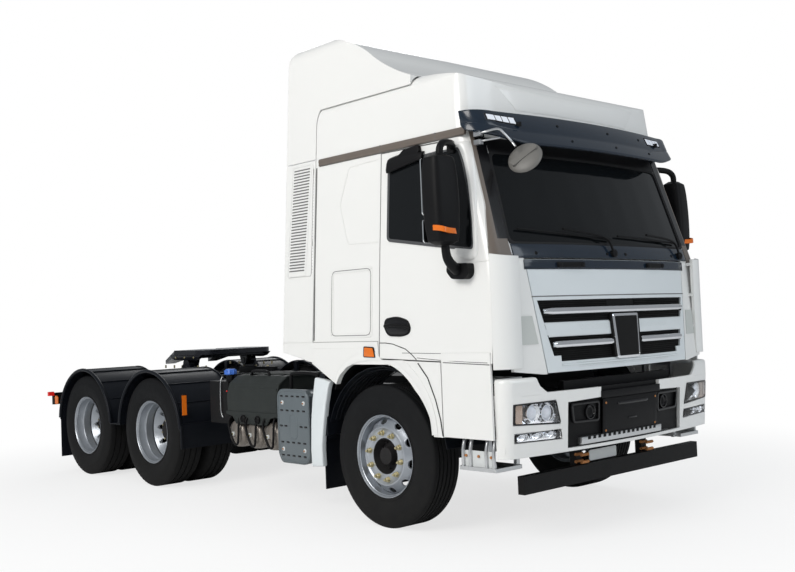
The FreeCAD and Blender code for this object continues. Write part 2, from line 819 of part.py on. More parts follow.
def make_skirts():
    """The arch band over each front wheel and the sill behind it, welded to the cab's lower edge."""
    band = prism_y([
        (588.0, 695.0),
        (extension_x0 - panel_gap, 695.0),
        (extension_x0 - panel_gap, 1204.0 - panel_gap),
        (300.0, 1216.0 - panel_gap),
        (60.0, 1223.0 - panel_gap),
        (50.0, 1345.0),
        (-1080.0, 1345.0),
        (-1080.0, 1270.0),
        (-700.0, 1190.0),
        (-440.0, 1114.0),
        ((-230.0, 1185.0), (0, 1205.0)),
        ((260.0, 1140.0), (419.0, 1007.0)),
        ((530.0, 870.0), (588.0, 695.0)),
    ], half_cab - skin, half_cab)
    inner_lip = block(-440.0, 50.0, half_cab - wall, half_cab - skin, 1205.0, 1240.0)
    return band, inner_lip


deflector_rear_x = -1085.0
deflector_top = 2765.0


def side_width(z):
    """Half the cab's width at a height."""
    for (z0, x0, y0), (z1, x1, y1) in zip(cab_stations, cab_stations[1:]):
        if z <= z1 or z1 == cab_stations[-1][0]:
            return y0 + (y1 - y0) * (z - z0) / (z1 - z0)


def make_side_deflectors():
    """The panels that carry the cab's sides on behind its rear wall, with a louvred grille in each."""
    z0 = 1300.0
    top = deflector_top
    section = [
        (side_width(z0) - skin, z0 + 45.0),
        (side_width(z0), z0 + 45.0),
        (side_width(top), top),
        (side_width(top) - skin, top),
    ]
    panel = prism_x(section, deflector_rear_x, cab_rear_x - panel_gap)
    grille = block(-930.0, -725.0, 0, far_out, 1880.0, 2700.0)
    panel = panel.cut(grille)
    slat_pitch = 23.4
    slats = []
    for i in range(35):
        z = 1884.0 + i * slat_pitch
        y = side_width(z + slat_pitch / 2)
        slats.append(prism_x([
            (y - skin, z + 6.0),
            (y - 4.0, z),
            (y - 4.0, z + 5.0),
            (y - skin, z + 12.0),
        ], -930.0, -725.0))
    stays = []
    for z in (1500.0, 2100.0, 2660.0):
        y = side_width(z) - skin
        stays.append(block(cab_rear_x - 60.0, cab_rear_x - seat_gap, y - 60.0, y + skin / 2, z, z + 40.0))
    half = fused([panel] + stays)
    node("side_deflectors", pair(half) + [s for slat in slats for s in pair(slat)])


def fairing_volume(inset):
    """The roof fairing's outer form: a rounded rear top edge and a slope that runs down onto the roof."""
    i = inset
    side_view = prism_y([
        (deflector_rear_x, deflector_top + panel_gap),
        (deflector_rear_x, 3590.0),
        ((deflector_rear_x + 45.0 + i / 3, 3690.0 - i), (-930.0, 3722.0 - i)),
        ((-430.0 - i / 3, 3665.0 - i), (-30.0 - i, 3440.0 - i)),
        ((180.0 - i, 3310.0 - i), (360.0 - i, 3228.0 - i)),
        (360.0 - i, 3150.0),
        (-400.0, 3150.0),
        (-400.0, deflector_top + panel_gap),
    ], -far_out, far_out)
    z0 = deflector_top
    z1 = 3722.0
    w0 = side_width(z0) - i
    w1 = side_width(3590.0) - i
    front_view = prism_x([
        (-w0, z0),
        (w0, z0),
        (w1, 3590.0),
        ((w1 - 35.0, 3680.0 - i), (w1 - 140.0, z1 - 6.0 - i)),
        ((0, z1 + 8.0 - i), (140.0 - w1, z1 - 6.0 - i)),
        ((35.0 - w1, 3680.0 - i), (-w1, 3590.0)),
    ], -far_out, far_out)
    return side_view.common(front_view)


def make_fairing():
    """The hollow fairing, open at the rear and underneath, standing round the high roof."""
    shell = fairing_volume(0).cut(fairing_volume(skin))
    shell = shell.cut(block(-far_out, deflector_rear_x + overrun, skin - 1060.0, 1060.0 - skin, 2700.0, 3590.0))
    room = cab_body(-panel_gap)
    keep = block(deflector_rear_x, far_out, -far_out, far_out, deflector_top + panel_gap, 2 * far_out)
    shell = shell.cut(room).common(keep)
    seats = []
    for x in (-560.0, -60.0):
        for y in (-700.0, 700.0):
            seats.append(block(x, x + 60.0, y - 30.0, y + 30.0, roof_z - overrun, 3400.0))
    body = shell.Solids
    biggest = max(body, key=lambda s: s.Volume)
    beams = []
    for x in (-560.0, -60.0):
        beams.append(block(x, x + 60.0, -far_out, far_out, 3370.0, 3400.0).common(fairing_volume(skin / 2)))
    posts = [p.cut(cab_body(-seat_gap)) for p in seats]
    node("roof_fairing", fused([biggest] + beams + posts))


visor_low = 2640.0
visor_height = 226.0
visor_lean = 120.0
visor_front = 1208.0
visor_y = 1172.0
visor_corner = 200.0
visor_rear = 990.0
visor_thickness = 14.0


def make_visor():
    """The sun visor: a bent blade ahead of the screen's top edge, on four arms."""
    outer = cab_outline(visor_low, visor_front, visor_y, 0, visor_corner, visor_rear)
    inner = cab_outline(visor_low, visor_front, visor_y, visor_thickness, visor_corner, visor_rear - overrun)
    lean = Vector(-visor_lean, 0, visor_height)
    shade = Part.Face(outer).cut(Part.Face(inner)).extrude(lean)
    arms = []
    for y in (-820.0, -300.0, 300.0, 820.0):
        arms.append(block(850.0, 1130.0, y - 12.0, y + 12.0, 2760.0, 2800.0).common(Part.Face(inner).extrude(lean)))
    reach = cab_body(-seat_gap)
    arms = [a.cut(reach) for a in arms]
    node("sun_visor", fused([shade] + arms))


dash_half = 1062.0


def make_interior(outer):
    """Dashboard with the steering wheel, two seats and the bunk."""
    inner = cab_body(wall + seat_gap)
    low = floor_z + floor_plate
    dash_profile = [
        (wall_front_x - wall - seat_gap, 1560.0),
        (wall_front_x - wall - seat_gap, 1900.0),
        ((930.0, 1965.0), (800.0, 1930.0)),
        (760.0, 1800.0),
        ((850.0, 1640.0), (900.0, 1560.0)),
    ]
    dash = prism_y(dash_profile, -dash_half, dash_half)
    console = prism_y([
        (wall_front_x - wall - seat_gap, low),
        (wall_front_x - wall - seat_gap, 1600.0),
        (tunnel_front_x + 2 * seat_gap, 1600.0),
        (tunnel_front_x + 2 * seat_gap, low),
    ], -300.0, 300.0)
    wheel_centre = Vector(640.0, 640.0, 1860.0)
    column_dir = Vector(-0.5, 0, 0.866)
    centre = Vector(0, 0, -14.0)
    wheel = bar_between(centre, Vector(0, 0, 14.0), 241.0, wheel_sides)
    wheel = wheel.cut(bar_between(centre, Vector(0, 0, 15.0), 211.0, wheel_sides))
    hub = bar_between(wheel_centre - column_dir * 30.0, wheel_centre + column_dir * 10.0, 70.0, bar_sides)
    column = bar_between(wheel_centre - column_dir * 290.0, wheel_centre - column_dir * 10.0, 32.0, rod_sides)
    spokes = [
        Part.makeBox(440.0, 36.0, 14.0, Vector(0, 0, 0)),
        Part.makeBox(36.0, 440.0, 14.0, Vector(0, 0, 0)),
    ]
    turn = FreeCAD.Rotation(Vector(0, 0, 1), column_dir)
    wheel.Placement = FreeCAD.Placement(wheel_centre, turn)
    arms = []
    for s, dx, dy in ((spokes[0], -220.0, -18.0), (spokes[1], -18.0, -220.0)):
        s.translate(Vector(dx, dy, -14.0))
        s.Placement = FreeCAD.Placement(wheel_centre, turn).multiply(s.Placement)
        arms.append(s)
    bracket = block(700.0, 860.0, 600.0, 680.0, 1620.0, 1740.0)
    node("dashboard", fused([dash, console, wheel, hub, column, bracket] + arms))
    chairs = []
    for y in (-745.0, 745.0):
        base = block(130.0, 520.0, y - 180.0, y + 180.0, low, low + 250.0)
        cushion = block(60.0, 600.0, y - 250.0, y + 250.0, low + 250.0, low + 440.0)
        back = prism_y([
            (60.0, low + 330.0),
            (200.0, low + 330.0),
            (90.0, low + 1080.0),
            (-30.0, low + 1080.0),
        ], y - 230.0, y + 230.0)
        head = prism_y([
            (50.0, low + 1080.0),
            (-30.0, low + 1080.0),
            (-50.0, low + 1290.0),
            (30.0, low + 1290.0),
        ], y - 130.0, y + 130.0)
        chairs.append(fused([base, cushion, back, head]))
    node("seats", chairs)
    rear = cab_rear_x + wall + seat_gap
    bunk_front = -60.0
    base = block(rear, bunk_front, -1130.0, 1130.0, 1890.0, 1930.0)
    mattress = block(rear, bunk_front, -1110.0, 1110.0, 1930.0, 2070.0)
    legs = [block(rear, bunk_front, y, y + 30.0, low + seat_gap, 1890.0) for y in (-660.0, 630.0)]
    node("bunk", fused([base.common(inner), mattress.common(inner)] + legs))


# the cab's front: a hinged flap with the grille in it, and the curved blades at the corners

flap_skin = 28.0
flap_corner_skin = 6.0
flap_low = 1102.0
flap_top = 1862.0
flap_hinge_x = 1170.0
flap_hinge_z = 1874.0
flap_low_y = 836.0
flap_high_y = 946.0
mesh_depth = 60.0


def flap_outline(gap):
    points = [
        (-flap_low_y, flap_low),
        (flap_low_y, flap_low),
        (flap_high_y, flap_top),
        (-flap_high_y, flap_top),
    ]
    return grown(points, gap, (0, 1500.0))


upper_mesh = ((0, 1392.0), (815.0, 1392.0), (872.0, 1585.0), (0, 1585.0))
lower_mesh = ((0, 1176.0), (700.0, 1176.0), (700.0, 1215.0), (765.0, 1215.0), (808.0, 1352.0), (0, 1352.0))


def mesh_zone(points, gap):
    """An opening on the left of the middle, joined to its twin on the right."""
    right = [(-y, z) for y, z in reversed(points[1:-1])]
    outline = list(points[1:-1]) + right
    return prism_x(grown(outline, gap, (0, (points[0][1] + points[-1][1]) / 2)), 900.0, far_out)


def make_flap(outer):
    """The flap: a white skin with two wide openings, and its hinge arms at the top."""
    surface = outer.cut(cab_body(flap_skin))
    face = surface.common(prism_x(flap_outline(-panel_gap / 2), 1120.0, far_out))
    for zone in (upper_mesh, lower_mesh):
        face = face.cut(mesh_zone(zone, 0))
    hinge = []
    for y in (-600.0, 560.0):
        hinge.append(block(flap_hinge_x, 1262.0, y, y + 40.0, 1800.0, 1850.0).common(outer))
    relief = prism_x([(920.0, 1760.0), (1000.0, 1760.0), (1000.0, 1900.0), (920.0, 1900.0)], 900.0, far_out)
    face = face.cut(cab_body(flap_corner_skin).common(relief.fuse(mirrored(relief))))
    node("front_flap", fused([face] + hinge))
    inset = 14.0
    behind = cab_body(inset).cut(cab_body(inset + mesh_depth / 3))
    meshes = []
    for zone in (upper_mesh, lower_mesh):
        meshes.append(behind.common(mesh_zone(zone, -seat_gap)))
    front = cab_body(-10.0).cut(cab_body(inset + mesh_depth / 4))
    bars = []
    for z, reach in ((1500.0, 835.0), (1282.0, 775.0)):
        bar = prism_x([(-reach, z - 17.0), (reach, z - 17.0), (reach + 8.0, z + 17.0), (-reach - 8.0, z + 17.0)],
                      900.0, far_out)
        bars.append(front.common(bar))
    badge = prism_x([(-160.0, 1180.0), (160.0, 1180.0), (172.0, 1478.0), (-172.0, 1478.0)], 900.0, far_out)
    proud = cab_body(-16.0).cut(cab_body(inset + mesh_depth / 4))
    plate = proud.common(badge)
    band = surface.common(badge)
    body = NODES["front_flap"][0].cut(prism_x(grown([(-160.0, 1180.0), (160.0, 1180.0), (172.0, 1478.0),
                                                     (-172.0, 1478.0)], seat_gap, (0, 1330.0)), 900.0, far_out))
    node("front_flap", body)
    node("grille", fused(meshes + bars + [plate]))


blade_low = 1096.0
blade_top = 1895.0


def make_corner_blades(outer):
    """The fixed corner panels beside the flap, each with a stand-off blade and a slotted gap behind it."""
    surface = outer.cut(cab_body(skin))
    beside = prism_x([
        (flap_low_y + panel_gap / 2, blade_low),
        (1120.0, 1130.0),
        (1120.0, 1882.0),
        (flap_high_y + panel_gap / 2, 1882.0),
    ], wall_front_x + seat_gap, far_out)
    panel = surface.common(beside)
    blade_points = [
        (1232.0, 1050.0),
        ((1222.0, 1160.0), (1148.0, half_cab)),
        (1148.0, half_cab - skin),
        ((1196.0, 1150.0), (1207.0, 1050.0)),
    ]
    blade = prism_z(blade_points, 1150.0, blade_top)
    slope = prism_y([
        (1000.0, blade_top),
        (1148.0, blade_top),
        (1300.0, 1862.0),
        (1300.0, 2000.0),
        (1000.0, 2000.0),
    ], 0, far_out)
    blade = blade.cut(slope)
    ribs = []
    for z in (1150.0, 1350.0, 1590.0, 1830.0):
        ribs.append(prism_z([
            (1116.0, 1040.0),
            (1220.0, 1040.0),
            (1222.0, 1100.0),
            ((1205.0, 1160.0), (1150.0, half_cab - skin / 2)),
            (1116.0, 1180.0),
        ], z, z + 24.0).cut(prism_y(door_outline(panel_gap), 0, far_out)))
    half = fused([panel, blade] + ribs)
    half = half.cut(block(0, wall_front_x + seat_gap, 0, far_out, 0, cowl_z))
    node("corner_blades", pair(max(half.Solids, key=lambda s: s.Volume)))


lid_thickness = 26.0
lid_arm = 30.0


def make_lockers():
    """The lids of the side lockers, and the boxes behind them that line the lockers."""
    plate = cab_body(0).cut(cab_body(lid_thickness))
    zone = block(locker_x0, locker_x1, half_cab - 3 * wall, far_out, locker_z0, locker_z1)
    lid = plate.common(zone)
    node("locker_lid_left", lid)
    node("locker_lid_right", mirrored(lid))
    y1 = side_width(locker_z1) - wall - 2 * seat_gap
    box = block(locker_x0 - 15.0, locker_x1 + 15.0, y1 - locker_depth, y1, locker_z0 - 15.0, locker_z1 + 10.0)
    room = block(locker_x0 - 10.0, locker_x1 + 10.0, y1 - locker_depth + 5.0, y1 + 5.0, locker_z0 - 10.0, locker_z1 + 5.0)
    node("locker_boxes", pair(box.cut(room)))


mirror_y = 1400.0


def make_mirrors():
    """The big door mirrors on their two arms, and the round kerb mirror on a bent rod."""
    housing = prism_z([
        (930.0, 1305.0),
        ((1060.0, 1300.0), (1085.0, 1390.0)),
        ((1060.0, 1490.0), (960.0, 1500.0)),
        (915.0, 1490.0),
    ], 1960.0, 2560.0)
    upper = bent_bar([Vector(1000.0, 1380.0, 2550.0), Vector(1000.0, 1380.0, 2640.0),
                       Vector(790.0, 1136.0, 2650.0)], 24.0)
    lower = bent_bar([Vector(1010.0, 1380.0, 1980.0), Vector(1020.0, 1350.0, 1840.0),
                       Vector(1020.0, 1195.0, 1830.0)], 34.0)
    arm = fused([housing, upper, lower]).cut(cab_body(-seat_gap))
    arm = max(arm.Solids, key=lambda s: s.Volume)
    node("mirror_left", arm)
    node("mirror_right", mirrored(arm))
    centre = Vector(1200.0, -900.0, 2527.0)
    disc = bar_between(centre, centre + Vector(-16.0, -12.0, -21.0), 120.0, wheel_sides)
    rod = bent_bar([Vector(880.0, -1092.0, 2698.0), Vector(985.0, -1096.0, 2606.0), Vector(1110.0, -1010.0, 2590.0),
                    centre], 9.0)
    foot = block(876.0, 924.0, -1117.0, -1069.0, 2682.0, 2730.0)
    kerb = fused([disc, rod, foot]).cut(cab_body(-seat_gap))
    node("kerb_mirror", max(kerb.Solids, key=lambda s: s.Volume))


# bumper, its lamps, step and insert, and the underrun beam below

bumper_skin = 26.0
bumper_rear_x = 1118.0
bumper_corner = 80.0
bumper_stations = ((578.0, 1312.0, 1212.0), (985.0, front_overhang, 1220.0))
lamp_zone = ((750.0, 770.0), (1160.0, 790.0), (1160.0, 925.0), (795.0, 930.0))
fog_zone = ((735.0, 668.0), (1150.0, 675.0), (1150.0, 738.0), (745.0, 735.0))
mouth_zone = ((-683.0, 600.0), (683.0, 600.0), (683.0, 905.0), (354.0, 915.0), (354.0, 1000.0),
              (-354.0, 1000.0), (-354.0, 915.0), (-683.0, 905.0))


def bumper_volume(inset):
    wires = [cab_outline(z, x, y, inset, bumper_corner, bumper_rear_x) for z, x, y in bumper_stations]
    return Part.makeLoft(wires, True, True)


def make_bumper():
    """The bumper skin with its mouth and lamp openings, held by two brackets on the rails."""
    shell = bumper_volume(0).cut(bumper_volume(bumper_skin))
    shell = shell.cut(prism_x(list(mouth_zone), 900.0, far_out))
    for zone in (lamp_zone, fog_zone):
        cutter = prism_x(list(zone), 1140.0, far_out)
        shell = shell.cut(cutter).cut(mirrored(cutter))
    stays = []
    for y in (500.0, 640.0):
        stays.append(block(1160.0, 1200.0, half_frame, y, 620.0, 660.0))
    rail_stay = block(rail_front_x - 130.0, 1180.0, half_frame + seat_gap, half_frame + 22.0, 615.0, 690.0)
    cross = block(1150.0, 1180.0, half_frame + seat_gap, 1200.0, 610.0, 655.0)
    node("bumper", fused([shell] + pair(rail_stay) + pair(cross)))
    insert = bumper_volume(bumper_skin + seat_gap).cut(bumper_volume(2 * bumper_skin))
    black = insert.common(prism_x(grown(list(mouth_zone), 0, (0, 750.0)), 1180.0, far_out))
    cover = bumper_volume(8.0).cut(bumper_volume(bumper_skin + 5.0))
    cover = cover.common(block(1180.0, far_out, -330.0, 330.0, 640.0, 895.0))
    step = bumper_volume(0).cut(bumper_volume(bumper_skin + 5.0))
    step = step.common(block(1180.0, far_out, -395.0, 395.0, 602.0, 632.0))
    top_fill = block(1180.0, 1230.0, -640.0, 640.0, 920.0, 1040.0)
    link = block(1180.0, 1300.0, -640.0, 640.0, 900.0, 925.0).common(bumper_volume(bumper_skin + 1.0))
    node("bumper_insert", fused([black, cover, step, top_fill, link]))
    lamps = []
    body = bumper_volume(4.0).cut(bumper_volume(2 * bumper_skin))
    for zone in (lamp_zone, fog_zone):
        lamps.append(body.common(prism_x(grown(list(zone), -seat_gap, (950.0, 800.0 if zone is lamp_zone else 705.0)),
                                         1140.0, far_out)))
    node("front_lamps", [s for lamp in lamps for s in pair(lamp)])


def make_underrun():
    """The beam across the front below the bumper, on two drop brackets."""
    beam = block(1140.0, 1196.0, -1046.0, 1046.0, 334.0, 452.0)
    drops = pair(block(1090.0, 1141.0, 360.0, half_frame, 345.0, frame_bottom))
    node("underrun_beam", fused([beam] + drops))


def make_steps():
    """The entry steps under each door, with their brackets on the rails."""
    pieces = []
    for z, x0, x1, y0 in ((490.0, 790.0, 1110.0, 960.0), (790.0, 790.0, 1110.0, 940.0), (1060.0, 790.0, 1090.0, 900.0)):
        pieces.append(block(x0, x1, y0, 1216.0, z, z + 26.0))
    for x in (800.0, 1040.0):
        pieces.append(block(x, x + 26.0, 930.0, 962.0, 490.0, 1086.0))
        pieces.append(block(x, x + 26.0, half_frame + seat_gap, 962.0, 860.0, 920.0))
    pieces.append(block(800.0, 1066.0, half_frame + seat_gap, half_frame + 18.0, 860.0, 920.0))
    step = fused(pieces)
    node("entry_steps", pair(step))


# chassis equipment between the cab and the driven axles

def make_tanks():
    """Fuel tank on the left; battery box, air vessels, urea tank and exhaust box on the right and left."""
    tank_x0, tank_x1 = -2150.0, -830.0
    y0, y1, z0, z1, r = 480.0, 1180.0, 400.0, 980.0, 90.0
    tank = prism_x([
        (y0 + r, z0), (y1 - r, z0), ((y1 - r * 0.29, z0 + r * 0.29), (y1, z0 + r)), (y1, z1 - r),
        ((y1 - r * 0.29, z1 - r * 0.29), (y1 - r, z1)), (y0 + r, z1),
        ((y0 + r * 0.29, z1 - r * 0.29), (y0, z1 - r)), (y0, z0 + r),
        ((y0 + r * 0.29, z0 + r * 0.29), (y0 + r, z0)),
    ], tank_x0, tank_x1)
    cap = bar_z(45.0, -1000.0, 1040.0, z1 - overrun, z1 + 50.0)
    arms = [block(x, x + 60.0, half_frame + seat_gap, y0 + overrun, 700.0, 960.0) for x in (-2000.0, -1060.0)]
    node("fuel_tank", fused([tank, cap] + arms))
    battery = prism_x([
        (-1120.0, 720.0), (-half_frame - 90.0, 720.0), (-half_frame - 90.0, 1060.0),
        (-1010.0, 1060.0), (-1120.0, 960.0),
    ], -2070.0, -1370.0)
    arms = [block(x, x + 60.0, -half_frame - 120.0, -half_frame - seat_gap, 760.0, 940.0) for x in (-2000.0, -1500.0)]
    node("battery_box", fused([battery] + arms))
    vessels = []
    for x in (-1990.0, -1735.0, -1480.0):
        r = 118.0
        body = wheel_turned([
            (0, -520.0), (r, -520.0), (r, -1060.0), (r * 0.8, -1100.0), (r * 0.4, -1120.0), (0, -1125.0),
        ], x, hub_sides, 565.0)
        vessels.append(body)
        vessels.append(block(x - 20.0, x + 20.0, -800.0, -760.0, 565.0, 719.7))
    bridge = block(-1990.0, -1480.0, -620.0, -560.0, 560.0, 600.0)
    hanger = [block(x, x + 40.0, -600.0, -half_frame - seat_gap, 600.0, 720.0 - 10.0) for x in (-1890.0, -1640.0)]
    rail_tab = [block(x, x + 40.0, -half_frame - 40.0, -half_frame - seat_gap, 600.0, 800.0) for x in (-1890.0, -1640.0)]
    node("air_tanks", fused(vessels[0:1] + vessels[1:] + [bridge] + hanger))
    urea = prism_z([
        (-2420.0, -1090.0), (-2120.0, -1090.0), (-2120.0, -560.0), (-2420.0, -560.0),
    ], 640.0, 1010.0)
    neck = bar_z(42.0, -2200.0, -1010.0, 1000.0, 1085.0)
    arm = block(-2400.0, -2340.0, -570.0, -half_frame - seat_gap, 720.0, 940.0)
    node("urea_tank", fused([urea, neck, arm]))
    box = block(-1280.0, -890.0, -1120.0, -560.0, 420.0, 940.0)
    cover = prism_y([
        (-1250.0, 385.0), (-930.0, 385.0), (-880.0, 435.0), (-880.0, 918.0),
        (-930.0, 968.0), (-1250.0, 968.0), (-1290.0, 928.0), (-1290.0, 455.0),
    ], -1160.0, -1119.0)
    arms = [block(x, x + 60.0, -570.0, -half_frame - seat_gap, 720.0, 900.0) for x in (-1240.0, -1000.0)]
    outlet = bar_y(60.0, -1085.0, 470.0, -620.0, 100.0)
    node("exhaust_box", fused([box, cover] + arms))


# mudguards

def arch_ring(x, y0, y1, radius, thickness, start, stop):
    """Part of a ring round a wheel centre, between two angles measured from straight ahead."""
    def at(r, degrees):
        a = math.radians(degrees)
        return (x + r * math.cos(a), axle_z + r * math.sin(a))
    outer = radius + thickness
    angles = [start + (stop - start) * i / arch_steps for i in range(arch_steps + 1)]
    ring = [at(outer, a) for a in angles] + [at(radius, a) for a in reversed(angles)]
    return prism_y(ring, y0, y1)


arch_steps = 14
guard_y0 = 800.0
guard_y1 = 1212.0


def make_guards():
    """Liners over the front wheels, and the full covers with end flaps over the driven wheels."""
    liner = arch_ring(0, guard_y0, 1176.0, 642.0, 8.0, 8.0, 172.0)
    rear_guard = prism_y([
        (-640.0, 560.0), (-632.0, 560.0), (-632.0, 700.0), (-640.0, 700.0),
    ], guard_y0, 1176.0)
    flap = prism_y([
        (-700.0, 400.0), (-655.0, 400.0), (-655.0, 620.0), (-600.0, 640.0), (-612.0, 1100.0), (-660.0, 1110.0),
        (-700.0, 1050.0),
    ], 960.0, 1205.0)
    mud = block(-668.0, -656.0, 860.0, 1190.0, 220.0, 640.0)
    arms = [block(x, x + 40.0, half_frame + seat_gap, guard_y0 + overrun, z, z + 40.0)
            for x, z in ((-500.0, 900.0), (420.0, 930.0))]
    posts = [block(-500.0, -460.0, guard_y0, guard_y0 + overrun, 900.0, 985.0),
             block(420.0, 460.0, guard_y0, guard_y0 + overrun, 930.0, 1010.0)]
    half = fused([liner, flap, mud] + arms + posts)
    node("front_guards", pair(max(half.Solids, key=lambda s: s.Volume)))
    covers = []
    for x in (rear_axle_x, last_axle_x):
        start, stop = 4.0, 176.0
        covers.append(arch_ring(x, 585.0, 1235.0, 575.0, 9.0, start, stop))
    join = block(trunnion_x - 110.0, trunnion_x + 110.0, 585.0, 1235.0, 560.0, 569.0)
    tail = block(last_axle_x - 590.0, last_axle_x - 578.0, 600.0, 1225.0, 150.0, 620.0)
    nose = block(rear_axle_x + 575.0, rear_axle_x + 584.0, 600.0, 1225.0, 390.0, 620.0)
    stays = []
    for x in (rear_axle_x, last_axle_x):
        stays.append(block(x - 25.0, x + 25.0, half_frame + seat_gap, 572.0, 900.0, 940.0))
        stays.append(block(x - 25.0, x + 25.0, 542.0, 572.0, 900.0, 1093.0))
        stays.append(block(x - 25.0, x + 25.0, 542.0, 640.0, 1060.0, 1093.0))
    half = fused(covers + [join, tail, nose] + stays)
    node("rear_fenders", pair(max(half.Solids, key=lambda s: s.Volume)))


# fifth wheel: a plate rocking on a transverse pin between two pedestals

fifth_x = -3920.0
fifth_pin_z = 1120.0
fifth_pin_radius = 28.0
plate_top = 1262.0
plate_low = 1212.0
plate_half = 450.0
kingpin_bore = 25.5
pedestal_y = 360.0
pedestal_width = 70.0
cheek_width = 60.0
mount_plate = 20.0
fifth_tilt = math.radians(2.0)


def make_fifth_wheel():
    """The plate with its throat and ramps, and the base with the two pedestals it rocks on."""
    outline = [
        (fifth_x + 390.0, -300.0),
        ((fifth_x + 420.0, 0), (fifth_x + 390.0, 300.0)),
        ((fifth_x + 330.0, 410.0), (fifth_x + 200.0, plate_half)),
        (fifth_x - 220.0, plate_half),
        (fifth_x - 560.0, 330.0),
        (fifth_x - 590.0, 210.0),
        (fifth_x - 60.0, kingpin_bore),
        (fifth_x, kingpin_bore),
        ((fifth_x + kingpin_bore, 0), (fifth_x, -kingpin_bore)),
        (fifth_x - 60.0, -kingpin_bore),
        (fifth_x - 590.0, -210.0),
        (fifth_x - 560.0, -330.0),
        (fifth_x - 220.0, -plate_half),
        (fifth_x + 200.0, -plate_half),
        ((fifth_x + 330.0, -410.0), (fifth_x + 390.0, -300.0)),
    ]
    plate = prism_z(outline, plate_low, plate_top)
    low_ramp = prism_y([
        (fifth_x - 200.0, plate_low + 1.0),
        (fifth_x - 590.0, 1110.0),
        (fifth_x - 590.0, 1150.0),
        (fifth_x - 220.0, plate_top - 4.0),
        (fifth_x - 190.0, plate_top - 4.0),
        (fifth_x - 190.0, plate_low + 1.0),
    ], 0, far_out)
    wing = prism_z([
        (fifth_x - 190.0, plate_half - 10.0), (fifth_x - 590.0, 330.0), (fifth_x - 590.0, 215.0), (fifth_x - 190.0, 90.0),
    ], 1000.0, 1300.0).common(low_ramp)
    plate = plate.cut(block(fifth_x - 700.0, fifth_x - 200.0, -far_out, far_out, 0, 2 * far_out))
    cheeks = pair(prism_y([
        (fifth_x - 90.0, plate_low + 1.0),
        (fifth_x - 45.0, fifth_pin_z - 20.0),
        ((fifth_x, fifth_pin_z - 50.0), (fifth_x + 45.0, fifth_pin_z - 20.0)),
        (fifth_x + 90.0, plate_low + 1.0),
    ], pedestal_y - cheek_width - 1.0, pedestal_y - 1.0))
    body = fused([plate] + pair(wing) + cheeks)
    bore = shaft_y(fifth_pin_radius + pin_gap, fifth_x, fifth_pin_z, -far_out, far_out)
    body = body.cut(bore)
    node("fifth_wheel", body)
    base = block(fifth_x - 330.0, fifth_x + 330.0, -half_frame - 60.0, half_frame + 60.0,
                 frame_top, frame_top + mount_plate)
    slot = block(fifth_x - 200.0, fifth_x + 200.0, -200.0, 200.0, frame_top - overrun, frame_top + 2 * overrun)
    posts = pair(prism_y([
        (fifth_x - 170.0, frame_top + mount_plate),
        (fifth_x - 55.0, fifth_pin_z),
        ((fifth_x, fifth_pin_z + 55.0), (fifth_x + 55.0, fifth_pin_z)),
        (fifth_x + 170.0, frame_top + mount_plate),
    ], pedestal_y, pedestal_y + pedestal_width))
    pins = pair(shaft_y(fifth_pin_radius, fifth_x, fifth_pin_z, pedestal_y - cheek_width - 6.0, pedestal_y + 1.0))
    node("fifth_wheel_base", fused([base.cut(slot)] + posts + pins))


lamp_depth = 70.0


def make_rear_lamps():
    """Lamp clusters on brackets at the frame's rear, with the plate bracket and a tow pin jaw."""
    bracket = block(rear_end_x - 20.0, rear_end_x - seat_gap, -1160.0, 1160.0, 730.0, 790.0)
    lamps = pair(block(rear_end_x - lamp_depth, rear_end_x - 20.0, 760.0, 1170.0, 700.0, 830.0))
    node("rear_lamps", fused([bracket] + lamps))


overall_length = front_overhang + wheelbase + bogie_spacing + rear_overhang + lamp_depth


def move_to_origin(shape):
    """From the front axle to the middle of the overall length."""
    moved = shape.copy()
    moved.translate(Vector(overall_length / 2 - front_overhang, 0, 0))
    return moved


def save():
    os.makedirs("parts", exist_ok=True)
    for name, solids in NODES.items():
        shape = solids[0] if len(solids) == 1 else Part.makeCompound(solids)
        move_to_origin(shape).exportStep("parts/" + name + ".step")


make_frame()
make_front_axle()
make_steering()
make_bogie()
make_powertrain()
make_wheels()
envelope = make_cab_shell()
band, lip = make_skirts()
above = block(-far_out, far_out, -far_out, far_out, gutter_z + gutter_height, 2 * far_out)
below = NODES["cab_shell"][0].cut(above)
node("high_roof", NODES["cab_shell"][0].common(above).cut(cab_body(roof_wall)))
node("cab_shell", fused([below] + pair(band) + pair(lip)))
make_glass(envelope)
make_doors()
make_side_deflectors()
make_fairing()
make_visor()
make_interior(envelope)
make_flap(envelope)
make_corner_blades(envelope)
make_lockers()
make_mirrors()
make_bumper()
make_underrun()
make_steps()
make_tanks()
make_guards()
make_fifth_wheel()
make_rear_lamps()
save()
